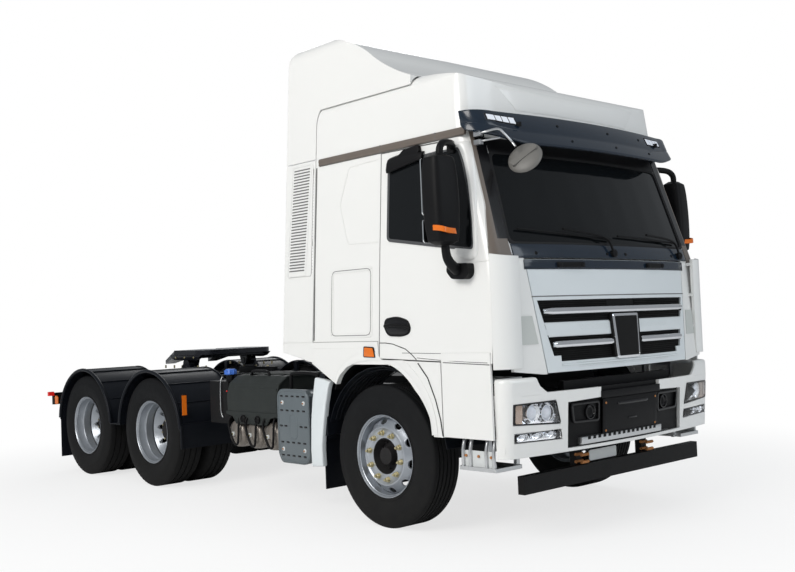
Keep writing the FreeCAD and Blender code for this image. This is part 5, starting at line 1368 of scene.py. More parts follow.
def dotted(form, outline, place, gap, size, high, finish=0):
    """Small raised studs in slanted rows within a four-cornered zone."""
    (u0, v0), (u1, _), (u2, _), (u3, v3) = outline
    corners = ((-1, -0.5), (1, -0.5), (1, 0.5), (-1, 0.5))
    rows = max(2, int((v3 - v0) / gap))
    for j in range(rows):
        t = (j + 0.5) / rows
        left, right = u0 + (u3 - u0) * t, u1 + (u2 - u1) * t
        count = max(2, int((right - left) / (gap * 1.25)))
        for i in range(count):
            u = left + (right - left) * (i + 0.5 + 0.3 * (j % 2)) / count
            v = v0 + (v3 - v0) * t
            foot, top = ([place(u + dx * size, v + dy * size, w) for dx, dy in corners] for w in (0.0, high))
            form.grid([foot, top], finish, True)
            form.put(top, [(0, 1, 2, 3)], finish)


class TRUCK_OT_flap_trim(bpy.types.Operator):
    """Grille bars, woven mesh, the bare badge frame and the raised creases of the front flap"""

    bl_idname = "truck.flap_trim"
    bl_label = "Flap Trim"

    def execute(self, context):
        for step in (self.bars, self.weave, self.badge, self.studs, self.creases, self.cheeks):
            step()
        return {"FINISHED"}

    def bars(self):
        """Bright bars across the grille."""
        bars = Form()
        along_bar(bars, -0.835, 0.835, 1.512, 1.512, 0.022, 0.014)
        along_bar(bars, -0.775, -0.172, 1.290, 1.290, 0.022, 0.014)
        along_bar(bars, 0.172, 0.775, 1.290, 1.290, 0.022, 0.014)
        piece("grille_bars", bars, "chrome", "flap", "bright_alloy", smooth=60)

    def weave(self):
        """Fine wires behind the bars, between the badge and the slanted ends of each opening."""
        mesh = Form()
        inner, slant = 0.17, 0.30
        level = ((-0.002, -0.016), (-0.002, -0.010), (0.002, -0.010), (0.002, -0.016))
        upright = ((-0.002, -0.017), (-0.002, -0.011), (0.002, -0.011), (0.002, -0.017))
        for z0, z1, half in ((1.440, 1.580, 0.86), (1.180, 1.346, 0.79)):
            for k in range(int((z1 - z0) / 0.014)):
                z = z0 + 0.007 + 0.014 * k
                edge = half - (z1 - z) * slant
                for s in (-1, 1):
                    mesh.grid([[on_front(s * (inner + (edge - inner) * i / 16), z + dz, w) for dz, w in level]
                               for i in range(17)], 0, True)
            for k in range(60):
                y = inner + (half - 0.19) * k / 59
                top = z1 - 0.004
                low = z0 + 0.004 + max(0.0, y - (half - (z1 - z0) * slant)) / slant
                if low < top:
                    for s in (-1, 1):
                        wire = [[on_front(s * y + dy, z, w) for dy, w in upright] for z in (low, top)]
                        mesh.grid(wire, 0, True)
        piece("grille_weave", mesh, "mesh", "flap", "grille_black")

    def badge(self):
        """The bare frame in the grille's middle."""
        badge = Form()
        outer = rounded([(-0.136, 1.166), (0.136, 1.166), (0.156, 1.480), (-0.156, 1.480)], 0.018, 4)
        inner = rounded([(-0.118, 1.184), (0.118, 1.184), (0.136, 1.462), (-0.136, 1.462)], 0.010, 4)
        n = len(outer)
        flat = lambda u, v, w: at(1.3165 - (v - 1.10) * 0.068 + w, u, v)
        rows = [[flat(u, v, w) for u, v in path] for path, w in
                ((outer, 0.0), (outer, 0.014), (inner, 0.020), (inner, 0.006))]
        badge.grid(rows, 0, True)
        badge.put([flat(u, v, 0.0) for u, v in outer], [tuple(range(n))[::-1]], 0)
        badge.put([flat(u, v, 0.006) for u, v in inner], [tuple(range(n))], 1)
        piece("badge_frame", badge, ["chrome", "gloss black"], "flap", "bright_alloy", bevel=0.002, smooth=30)

    def studs(self):
        """Bands of small studs between the openings and below them."""
        strips = Form()
        for zone, gap, size in (
                (((-0.48, 1.378), (-0.18, 1.378), (-0.18, 1.420), (-0.54, 1.420)), 0.006, 0.0014),
                (((0.18, 1.378), (0.56, 1.378), (0.59, 1.420), (0.18, 1.420)), 0.006, 0.0014),
                (((-0.54, 1.128), (0.54, 1.128), (0.57, 1.166), (-0.57, 1.166)), 0.008, 0.0018)):
            dotted(strips, zone, on_front, gap, size, 0.0012)
        piece("flap_studs", strips, "matt panel", "flap", "bright_alloy")

    def creases(self):
        """The seam over the grille, its white bars in the body paint with painted shade, the strip at the flap's top
        and the washer nozzles.
        """
        lines = Form()
        ribbon(lines, [(-0.915 + 1.83 * i / 40, 1.612) for i in range(41)], on_front, 0.007, -0.004, 0.0012)
        bar = ((1.338, -0.016), (1.340, -0.002), (1.346, 0.001), (1.425, 0.001), (1.436, -0.004),
               (1.438, -0.016))
        for s in (-1, 1):
            rows = [[on_front(s * (0.150 + (0.872 - 0.150 - (1.583 - z) * 0.30) * i / 16), z, w)
                     for i in range(17)] for z, w in bar]
            lines.grid(rows if s > 0 else [r[::-1] for r in rows], 1)
        ribbon(lines, [(-0.70 + 1.40 * i / 40, 1.152) for i in range(41)], on_front, 0.012, -0.002, 0.0045, 1)
        patch(lines, -0.955, 0.955, 1.792, 1.856, on_front, -0.002, 0.003, 24, 3, 2)
        for y0, y1 in ((-0.66, -0.40), (0.36, 0.60)):
            patch(lines, y0, y1, 1.806, 1.840, on_front, 0.002, 0.020, 6, 2, 3)
            for y in (y0 + 0.02, y1 - 0.02):
                stud(lines, on_front, y, 1.823, 0.0, 0.024, 0.018, 14, 3)
        # The white bars take the body paint with painted shade.
        piece("flap_creases", lines, ["seam", "front paint", "visor", "black"], "flap",
              "body_white", bevel=0.001)

    def cheeks(self):
        """Matt panels on the corner blades."""
        cheeks = Form()
        levels = [1.300 + 0.185 * j / 6 for j in range(7)]
        for s in (-1, 1):
            plated(cheeks, *([round_corner(z, 1.175, 0.898 + (z - 1.30) * 0.17, out, s) for z in levels]
                             for out in (0.0035, -0.002)))
        piece("cheek_panels", cheeks, "matt panel", "cab", "body_white", smooth=50)


HEAD_LAMP = ((0.757, 0.777), (1.155, 0.797), (1.155, 0.920), (0.800, 0.924))
FOG_LAMP = ((0.742, 0.675), (1.145, 0.682), (1.145, 0.732), (0.752, 0.729))


def lamp_edge(points, s, radius):
    """A lamp's rounded outline on one side of the bumper."""
    return rounded([(s * y, z) for y, z in points], radius, 4)


class TRUCK_OT_lamps(bpy.types.Operator):
    """Head and fog lamps with reflectors, projectors and clear covers, set in the bumper's pockets"""

    bl_idname = "truck.lamps"
    bl_label = "Lamps"

    def execute(self, context):
        glass, bowls = Form(), Form()
        for s in (-1, 1):
            for zone, depth in ((lamp_edge(HEAD_LAMP, s, 0.014), -0.052),
                                (lamp_edge(FOG_LAMP, s, 0.016), -0.040)):
                self.pocket(bowls, glass, zone, depth)
            for y, z, r in ((0.865, 0.850, 0.050), (0.985, 0.858, 0.052)):
                self.projector(bowls, shifted(on_bumper, s * y, z), r)
            self.flutes(bowls, s, 9, 0.765, 0.014, ((0, -0.050), (0.005, -0.034), (0.010, -0.050)),
                        (0.800, 0.812), 0)
            turn_lamp = [(s * 1.075, 0.800), (s * 1.150, 0.802), (s * 1.150, 0.915), (s * 1.075, 0.918)]
            bowls.prism(turn_lamp, on_bumper, -0.045, -0.012, 3)
            self.flutes(bowls, s, 8, 1.080, 0.008, ((0, -0.012), (0.004, -0.008), (0.008, -0.012)),
                        (0.806, 0.912), 3)
            for y0, y1 in ((0.785, 0.875), (0.905, 1.000), (1.025, 1.120)):
                self.fog_bowl(bowls, s, (y0 + y1) / 2, (y1 - y0) / 2)
        piece("lamp_bowls", bowls, ["chrome", "gloss black", "white lens", "amber"], "chassis",
              "bright_alloy", smooth=45)
        cover = piece("lamp_covers", glass, "lens", "chassis", "lamp_glass", bevel=0.001)
        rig.replaces(cover, "front_lamps")
        return {"FINISHED"}

    def pocket(self, bowls, glass, zone, depth):
        """A bright pocket with a black rim and its clear cover."""
        bowls.prism(zone, on_bumper, depth - 0.012, depth, 0)
        small = shrunk(zone, 0.010)
        rows = [[on_bumper(u, v, w) for u, v in path] for path, w in
                ((zone, -0.006), (zone, 0.0035), (small, 0.0035), (shrunk(zone, 0.026), depth))]
        bowls.grid(rows[:3], 1, True)
        bowls.grid(rows[2:], 0, True)
        glass.prism(small, on_bumper, -0.003, 0.0015, 0)

    def projector(self, bowls, place, r):
        """A round reflector with its glass ball."""
        deep = -0.046
        bowl = [(r, deep + 0.034), (r + 0.004, deep + 0.034), (r + 0.004, deep), (0.022, deep)]
        bowls.turned(bowl, place, 32, 0)
        ball = ((0.030, 0.002), (0.034, 0.016), (0.028, 0.030), (0.015, 0.037), (0, 0.039))
        bowls.turned([(radius, deep + rise) for radius, rise in ball], place, 28, 2, closed=False)

    def flutes(self, bowls, s, count, first, pitch, section, heights, finish):
        """Upright flutes side by side in a lens."""
        for k in range(count):
            y = first + pitch * k
            bowls.grid([[on_bumper(s * (y + dy), z, w) for dy, w in section] for z in heights], finish)

    def fog_bowl(self, bowls, s, y, half):
        """An oval reflector with its bulb cover."""
        ring = [(half * math.cos(2 * math.pi * k / 28), 0.018 * math.sin(2 * math.pi * k / 28))
                for k in range(28)]
        rows = [[on_bumper(s * (y + u * q), 0.706 + v * q, w) for u, v in ring] for q, w in
                ((1.0, -0.010), (0.82, -0.032), (0.35, -0.036), (0.30, -0.018), (0.05, -0.015))]
        bowls.grid(rows[:4], 0, True)
        bowls.grid(rows[3:], 2, True)


class TRUCK_OT_bumper_trim(bpy.types.Operator):
    """Slotted step, towing cover, fog recesses and brackets of the bumper"""

    bl_idname = "truck.bumper_trim"
    bl_label = "Bumper Trim"

    def execute(self, context):
        for step in (self.front_step, self.towing_cover, self.lamp_rims, self.crown, self.bracket_bolts):
            step()
        return {"FINISHED"}

    def front_step(self):
        """The slotted bright step."""
        step = Form()
        patch(step, -0.560, 0.380, 0.612, 0.660, on_bumper, -0.045, 0.013, 24, 2, 0)
        for k in range(15):
            y = -0.50 + 0.055 * k
            patch(step, y, y + 0.030, 0.640, 0.661, on_bumper, -0.020, 0.0145, 2, 1, 1)
        rows = [[on_bumper(-0.545 + 0.91 * i / 20, 0.6615, w) for i in range(21)] for w in (-0.085, 0.013)]
        step.grid(rows, 0)
        for k in range(13):
            low = on_bumper(-0.50 + 0.068 * k, 0.658, -0.075)
            step.box(low, low + Vector((0.052, 0.032, 0.006)), 1)
        piece("front_step", step, ["bright", "black"], "chassis", "bright_alloy", bevel=0.001)

    def towing_cover(self):
        """The black cover in the bumper's middle, with the round recesses beside it."""
        cover = Form()
        patch(cover, -0.355, 0.355, 0.905, 0.955, on_bumper, -0.02, 0.014, 20, 2, 0)
        patch(cover, -0.330, 0.330, 0.655, 0.900, on_bumper, -0.012, 0.006, 20, 2, 0)
        along_bar(cover, -0.17, 0.20, 0.856, 0.856, 0.012, 0.006, 1, on_bumper)
        patch(cover, -0.04, 0.06, 0.742, 0.752, on_bumper, 0.0, 0.010, 2, 1, 1)
        for s in (-1, 1):
            recess = [(s * 0.36, 0.760), (s * 0.62, 0.766), (s * 0.64, 0.885), (s * 0.36, 0.885)]
            ribbon(cover, rounded(recess, 0.02, 4), on_bumper, 0.016, -0.05, -0.004, 1, True)
            dish = [(0.052, -0.03), (0.052, -0.006), (0.044, -0.004), (0.040, -0.02), (0.012, -0.026),
                    (0.0, -0.024)]
            cover.turned(dish, shifted(on_bumper, s * 0.445, 0.822), 32, 1, closed=False)
        for y, z in ((-0.30, 0.87), (0.30, 0.87), (-0.30, 0.68), (0.30, 0.68)):
            stud(cover, on_bumper, y, z, 0.0, 0.010, 0.008, 10, 2)
        piece("towing_cover", cover, ["black", "gloss black", "bolt"], "chassis", "black_trim",
              bevel=0.003, smooth=45)

    def lamp_rims(self):
        """Black edges round the head lamps and the seam under the bumper's middle."""
        edge = Form()
        for s in (-1, 1):
            ribbon(edge, lamp_edge(HEAD_LAMP, s, 0.014), on_bumper, 0.007, -0.006, 0.0045, 0, True)
            ribbon(edge, [(s * 0.342, 0.612), (s * 0.50, 0.612)], on_bumper, 0.006, -0.004, 0.0012, 0)
        piece("lamp_rims", edge, "gloss black", "chassis", "black_trim")

    def crown_line(self, s, z, end, out):
        """Points of the crown at a height, from the bumper's side to a place on the front."""
        top, start = 0.985, 1.126
        half = row_at(BUMPER_ROWS, min(z, top))[1]
        cx = plan(BUMPER_ROWS, min(z, top), BUMPER_CORNER)[0][0][0]
        cy, big = half - BUMPER_CORNER, BUMPER_CORNER + out
        line = [(start + (cx - start) * i / 3, half + out) for i in range(3)]
        line += [(cx + big * math.cos(a), cy + big * math.sin(a)) for a in
                 [QUARTER + (TURN - QUARTER) * i / 12 for i in range(13)]]
        last = line[-1][1]
        for y in [last + (end - last) * i / 6 for i in range(1, 7)]:
            line.append((front_x(y, top, BUMPER_ROWS, BUMPER_CORNER) + out, y))
        return [at(x, s * y, z) for x, y in line]

    def crown(self):
        """The white crown that rises above the bumper's corners."""
        crown = Form()
        levels = ((0.972, 0.86, -0.002), (0.984, 0.87, -0.0005), (1.000, 0.895, 0.0), (1.030, 0.935, 0.0),
                  (1.060, 0.952, 0.0), (1.078, 0.957, -0.003), (1.086, 0.960, -0.012), (1.089, 0.962, -0.030))
        for s in (-1, 1):
            plated(crown, *([self.crown_line(s, z, end, out - deep) for z, end, out in levels]
                            for deep in (0.0, 0.016)))
        piece("bumper_crown", crown, "paint", "chassis", "body_white", smooth=50)

    def bracket_bolts(self):
        """Bolts of the underrun beam's brackets and the bare plate."""
        bolts = Form()
        for s in (-1, 1):
            for dx, z in ((0, 0), (0.05, 0), (0, -0.05), (0.05, -0.05)):
                c = at(1.143 + dx, s * 0.395, 0.52 + z)
                bolts.rod([c + Vector((0, -0.040, 0)), c + Vector((0, 0.040, 0))], 0.011, 6, 0)
        bolts.prism(tablet(-0.30, 0.02, 0.462, 0.535, 0.012, 3), along_x, 1.156, 1.162, 1)
        piece("bracket_bolts", bolts, ["bolt", "plate"], "chassis", "bright_alloy")


# chassis

def dome(form, centre, axis, radius, length, bulge, finish=0, steps=40):
    """A lying pressure vessel with domed ends, from its near end inward."""
    side = axis.orthogonal().normalized()
    other = axis.cross(side)
    place = lambda u, v, w: centre + side * u + other * v + axis * w
    profile = [(0.0, -bulge)] + [(radius * math.sin(QUARTER * k / 7), -bulge * math.cos(QUARTER * k / 7))
                                 for k in range(1, 8)]
    profile += [(radius, length * k / 4) for k in range(1, 5)]
    profile += [(radius * math.cos(QUARTER * k / 5), length + bulge * math.sin(QUARTER * k / 5))
                for k in range(1, 6)]
    form.turned(profile, place, steps, finish, closed=False)
    return place


class TRUCK_OT_arches(bpy.types.Operator):
    """White arch edges, rear wing panels and liners round the front wheels"""

    bl_idname = "truck.arches"
    bl_label = "Front Arches"

    def execute(self, context):
        for side, sign in SIDES:
            self.cab_liner(side, sign)
        for side, sign in SIDES:
            for step in (self.arch_edge, self.arch_seams, self.wing, self.liner_ribs):
                step(side, sign)
        return {"FINISHED"}

    def cab_liner(self, side, s):
        """The dark liner of the cab's wheel arch."""
        arch = ((-0.455, 0.985), (-0.400, 1.085), (-0.305, 1.160), (-0.184, 1.199), (-0.028, 1.209),
                (0.144, 1.207), (0.250, 1.186), (0.350, 1.124), (0.446, 1.034), (0.520, 0.927),
                (0.572, 0.807), (0.590, 0.70))
        curve = eased([Vector((x, 0, z)) for x, z in arch], 3)
        liner = Form()
        rows = [[at(p.x * k, s * y, AXLE_Z + (p.z - AXLE_Z) * k) for p in curve] for y, k in
                ((1.236, 1.004), (1.236, 1.016), (0.80, 1.016), (0.80, 1.004))]
        liner.grid(rows if s < 0 else [r[::-1] for r in rows], 0)
        liner.grid([rows[3], rows[0]], 0)
        piece(f"{side}_cab_liner", liner, "black", "cab", "black_trim", smooth=60)

    def arch_edge(self, side, s):
        """The white edge of the arch with the panel behind it, kept clear of the door."""
        chin = Form()
        top = [(-0.700, 1.300), (-0.711, 1.185), (-0.429, 1.031), (-0.384, 1.099), (-0.300, 1.159),
               (-0.184, 1.197), (-0.060, 1.206), (-0.060, 1.300)]
        chin.prism(top, beside(s), 1.2435, 1.2475)
        arch = ((-0.429, 1.031), (-0.384, 1.099), (-0.300, 1.159), (-0.184, 1.197), (-0.028, 1.206),
                (0.144, 1.203), (0.247, 1.184), (0.345, 1.122), (0.440, 1.034), (0.513, 0.927),
                (0.556, 0.807), (0.568, 0.705))
        lip = eased([Vector((u, v, 0)) for u, v in arch], 3)
        rows = []
        for i, p in enumerate(lip):
            a, b = lip[max(i - 1, 0)], lip[min(i + 1, len(lip) - 1)]
            d = (b - a).normalized()
            out = Vector((-d.y, d.x, 0))
            wide = 0.060 if i > 9 else 0.02 + 0.004 * i
            rows.append([at(p.x + out.x * k, s * y, p.y + out.y * k) for k, y in
                         ((0, 1.205), (0, 1.244), (0.006, 1.2485), (wide, 1.2485), (wide, 1.205))])
        limit, door_x, door_z = AXLE_X + 0.682, AXLE_X + 0.06, 1.212
        for row in rows:
            for k, q in enumerate(row):
                if q.x > limit and q.z < 1.2:
                    row[k] = Vector((limit, q.y, q.z))
                if q.x > door_x and q.z > door_z:
                    row[k] = Vector((q.x, q.y, door_z))
        chin.grid(rows, 0, True)
        chin.put(rows[0], [(0, 1, 2, 3, 4)])
        chin.put(rows[-1], [(4, 3, 2, 1, 0)])
        piece(f"{side}_arch_edge", chin, "paint", "cab", "body_white", smooth=50)

    def arch_seams(self, side, s):
        """The door's lower seams and the seam ahead of the arch."""
        seam = Form()
        ribbon(seam, [(0.066, 1.334), (0.13, 1.333), (0.204, 1.325), (0.335, 1.289), (0.40, 1.250),
                      (0.445, 1.215)], on_side(s), 0.006, -0.002, 0.0012)
        ribbon(seam, [(0.450, 1.228), (0.673, 1.212), (0.946, 1.200), (1.10, 1.196)],
               on_side(s), 0.004, -0.002, 0.0012, 1)
        piece(f"{side}_door_arc", seam, ["rubber seal", "seam"], f"{side}_door", "black_trim")
        low = ribbon(Form(), [(0.461, 1.192), (0.552, 1.091), (0.620, 0.944), (0.660, 0.812), (0.676, 0.704)],
               beside(s, 1.2485), 0.006, -0.004, 0.0012)
        piece(f"{side}_arch_seam", low, "rubber seal", "cab", "black_trim")

    def wing(self, side, s):
        """The panel behind the front wheel in the body paint with painted shade, with its inner guard."""
        wing = Form()
        outline = [(-0.705, 1.075), (-0.745, 0.90), (-0.768, 0.746), (-0.782, 0.514), (-0.777, 0.388),
                   (-0.640, 0.398), (-0.643, 0.562), (-0.624, 0.677), (-0.585, 0.869), (-0.545, 1.0),
                   (-0.52, 1.046), (-0.60, 1.066)]
        wing.prism(outline, beside(s), 1.188, 1.236)
        wing.prism([(-0.705, 1.075), (-0.782, 0.514), (-0.777, 0.388), (-0.745, 0.388), (-0.745, 0.514),
                    (-0.672, 1.07)], beside(s), 0.83, 1.19, 1)
        # The panel takes the body paint with painted shade.
        piece(f"{side}_wing_panel", wing, ["front paint", "guard"], "chassis", "body_white",
              bevel=0.010, segments=3, smooth=50)

    def liner_ribs(self, side, s):
        """Fine ribs along the wheel liner."""
        liner, radius = Form(), 0.625
        angles = [math.radians(168 - 5 * k) for k in range(2, 25)]
        for k in range(9):
            y = s * (0.82 + 0.04 * k)
            liner.rod([at(radius * math.cos(a), y, AXLE_Z + radius * math.sin(a)) for a in angles], 0.004, 6)
        piece(f"{side}_liner_ribs", liner, "guard", "chassis", "guard_black")


class TRUCK_OT_side_boxes(bpy.types.Operator):
    """Slotted cover, ribbed battery lid, air tanks with straps, fuel and urea tank fittings"""

    bl_idname = "truck.side_boxes"
    bl_label = "Side Boxes"

    def execute(self, context):
        for step in (self.slotted_cover, self.battery_lid, self.air_vessels, self.urea_cap, self.grab_rails,
                     self.fuel_straps):
            step()
        return {"FINISHED"}

    def slotted_cover(self):
        """The slotted cover of the exhaust box, with its screws and bare label frame."""
        cover, face = Form(), beside(-1, 1.168)
        outline = rounded([(-1.250, 0.378), (-0.930, 0.378), (-0.875, 0.435), (-0.875, 0.915),
                           (-0.930, 0.972), (-1.250, 0.972), (-1.295, 0.925), (-1.295, 0.450)], 0.035, 5)
        cover.prism(outline, beside(-1), 1.148, 1.168)
        ribbon(cover, shrunk(outline, 0.016), face, 0.010, -0.002, 0.003, 0, True)
        for z, count in ((0.915, 5), (0.800, 5), (0.675, 4), (0.545, 5), (0.440, 5)):
            for k in range(count):
                x = -1.235 + 0.0725 * k if count == 5 else (-1.245, -1.185, -0.985, -0.925)[k]
                cover.prism(tablet(x - 0.020, x + 0.020, z - 0.007, z + 0.007, 0.006, 2),
                            beside(-1), 1.160, 1.1695, 1)
        for x, z in ((-1.225, 0.862), (-0.945, 0.862), (-1.225, 0.488), (-0.945, 0.488)):
            spot = shifted(face, x, z)
            cover.turned([(0.0, 0.006), (0.013, 0.006), (0.020, -0.002)], spot, 20, 2, closed=False)
            cover.turned([(0.0, 0.012), (0.007, 0.012), (0.007, 0.004)], spot, 6, 3, closed=False)
        plain = [(-1.135, 0.745), (-1.115, 0.770), (-1.055, 0.770), (-1.035, 0.745), (-1.035, 0.600),
                 (-1.055, 0.578), (-1.115, 0.578), (-1.135, 0.600)]
        ribbon(cover, rounded(plain, 0.01, 2), face, 0.006, -0.002, 0.0016, 0, True)
        piece("slotted_cover", cover, ["slate", "gloss black", "plate", "bolt"], "chassis",
              "slate_cover", bevel=0.003)

    def battery_lid(self):
        """The ribbed lid of the battery box and its clamps."""
        battery = Form()
        rows = []
        shape = ((-1.128, 0.735), (-1.132, 0.900), (-1.100, 1.000), (-1.015, 1.062), (-0.80, 1.070),
                 (-0.55, 1.070))
        for x in [-2.085 + 0.73 * k / 20 for k in range(21)]:
            bump = 0.0045 if int((x + 2.085) / 0.105) % 2 else 0.0
            rows.append([at(x, y - (bump if 0 < i < 4 else 0), z + (bump if i > 2 else 0))
                         for i, (y, z) in enumerate(shape)])
        battery.grid(rows, 0)
        low = [[at(p.x - AXLE_X, p.y + 0.012, p.z - 0.012) for p in row] for row in rows]
        battery.grid([row[::-1] for row in low], 0)
        for end in (0, -1):
            battery.grid([rows[end], low[end]], 0)
        battery.grid([[row[0] for row in rows], [row[0] for row in low]], 0)
        skirt = [(-2.10, 0.760), (-1.345, 0.760), (-1.345, 0.735), (-1.45, 0.715), (-1.50, 0.655),
                 (-1.95, 0.655), (-2.00, 0.715), (-2.10, 0.735)]
        battery.prism(skirt, beside(-1), 1.122, 1.136)
        for x in (-1.83, -1.62):
            battery.turned([(0.034, 0.0), (0.034, 0.014), (0.024, 0.020), (0.020, 0.008), (0, 0.008)],
                           shifted(beside(-1, 1.136), x, 0.700), 24, 1, closed=False)
        for k in range(7):
            x = -2.03 + 0.105 * k
            battery.box(at(x, -0.99, 1.069), at(x + 0.045, -0.60, 1.077), 0)
        piece("battery_lid", battery, ["battery", "black"], "chassis", "battery_cover", bevel=0.002)

    def air_vessels(self):
        """Three lying vessels with domed ends, straps and guard bars."""
        tanks, radius = Form(), 0.1165
        bar = ((-0.030, 0.05, 0.175), (-0.045, 0.0, 0.12), (-0.030, -0.006, 0.03), (0.030, -0.006, -0.075),
               (0.070, 0.0, -0.085), (0.088, 0.0, -0.03), (0.080, 0.02, 0.13), (0.075, 0.06, 0.175))
        for x in (-1.990, -1.735, -1.480):
            place = dome(tanks, at(x, -1.085, 0.565), Vector((0, 1, 0)), radius, 0.525, 0.052)
            tanks.turned([(0.0, -0.062), (0.018, -0.062), (0.020, -0.045)], place, 18, 2, closed=False)
            tanks.turned([(0.0, -0.066), (0.009, -0.066), (0.009, -0.055)], place, 6, 3, closed=False)
            for w in (0.02, 0.505):
                tanks.turned([(radius, w), (0.120, w + 0.004), (0.120, w + 0.030), (radius, w + 0.034)],
                             place, 40, 0, closed=False)
            tanks.rod([at(x, -1.150, 0.565) + Vector(p) for p in bar], 0.010, 10, 1, smooth=5)
        piece("air_vessels", tanks, ["vessel", "black", "plate", "nut"], "chassis", "vessel_metal", smooth=38)

    def urea_cap(self):
        """The blue cap of the urea tank, its level tube and a red mark."""
        fitting, spot = Form(), shifted(along_z, -2.200, -1.010)
        fitting.turned([(0.0, 1.118), (0.040, 1.116), (0.050, 1.104), (0.052, 1.072), (0.046, 1.066)],
                       spot, 28, 0, closed=False)
        for k in range(10):
            a = 2 * math.pi * k / 10
            c = spot(0.051 * math.cos(a), 0.051 * math.sin(a), 1.070)
            fitting.box(c - Vector((0.004, 0.004, 0)), c + Vector((0.004, 0.004, 0.036)), 0)
        fitting.rod([at(-2.235, -1.075, 1.05), at(-2.236, -1.096, 0.99), at(-2.236, -1.100, 0.76),
                     at(-2.205, -1.098, 0.69)], 0.005, 8, 1, smooth=5)
        fitting.box(at(-2.150, -1.096, 0.92), at(-2.138, -1.088, 0.932), 2)
        piece("urea_cap", fitting, ["blue", "bright", "red"], "chassis", "visor_blue", smooth=40)

    def grab_rails(self):
        """Bent rails on the battery box and the exhaust box."""
        rails = Form()
        rails.rod([at(x, -1.0, z) for x, z in ((-1.905, 0.99), (-1.885, 1.075), (-1.845, 1.098),
                                               (-1.66, 1.098), (-1.625, 1.075), (-1.62, 1.02))],
                  0.012, 12, smooth=5)
        rails.rod([at(-1.245, -1.05, 0.93), at(-1.235, -1.06, 1.055), at(-1.19, -1.06, 1.092),
                   at(-0.93, -1.06, 1.09), at(-0.885, -1.06, 1.06), at(-0.88, -1.05, 0.93)],
                  0.015, 12, smooth=6)
        piece("grab_rails", rails, "black", "chassis", "black_trim")

    def fuel_straps(self):
        """Straps round the fuel tank, and its cap."""
        fuel = Form()
        for x in (-1.95, -1.50, -1.05):
            band = tablet(0.478, 1.183, 0.398, 0.983, 0.09, 6)
            rows = [[at(x + dx, y + (y - 0.83) * w * 1.2, z + (z - 0.69) * w * 1.2) for y, z in band]
                    for dx, w in ((-0.022, 0.0), (-0.022, 0.010), (0.022, 0.010), (0.022, 0.0))]
            fuel.grid(rows, 0, True)
        fuel.turned([(0.0, 1.090), (0.045, 1.088), (0.060, 1.078), (0.062, 1.035)],
                    shifted(along_z, -1.0, 1.04), 28, 1, closed=False)
        piece("fuel_straps", fuel, ["black", "black"], "chassis", "black_trim", smooth=40)


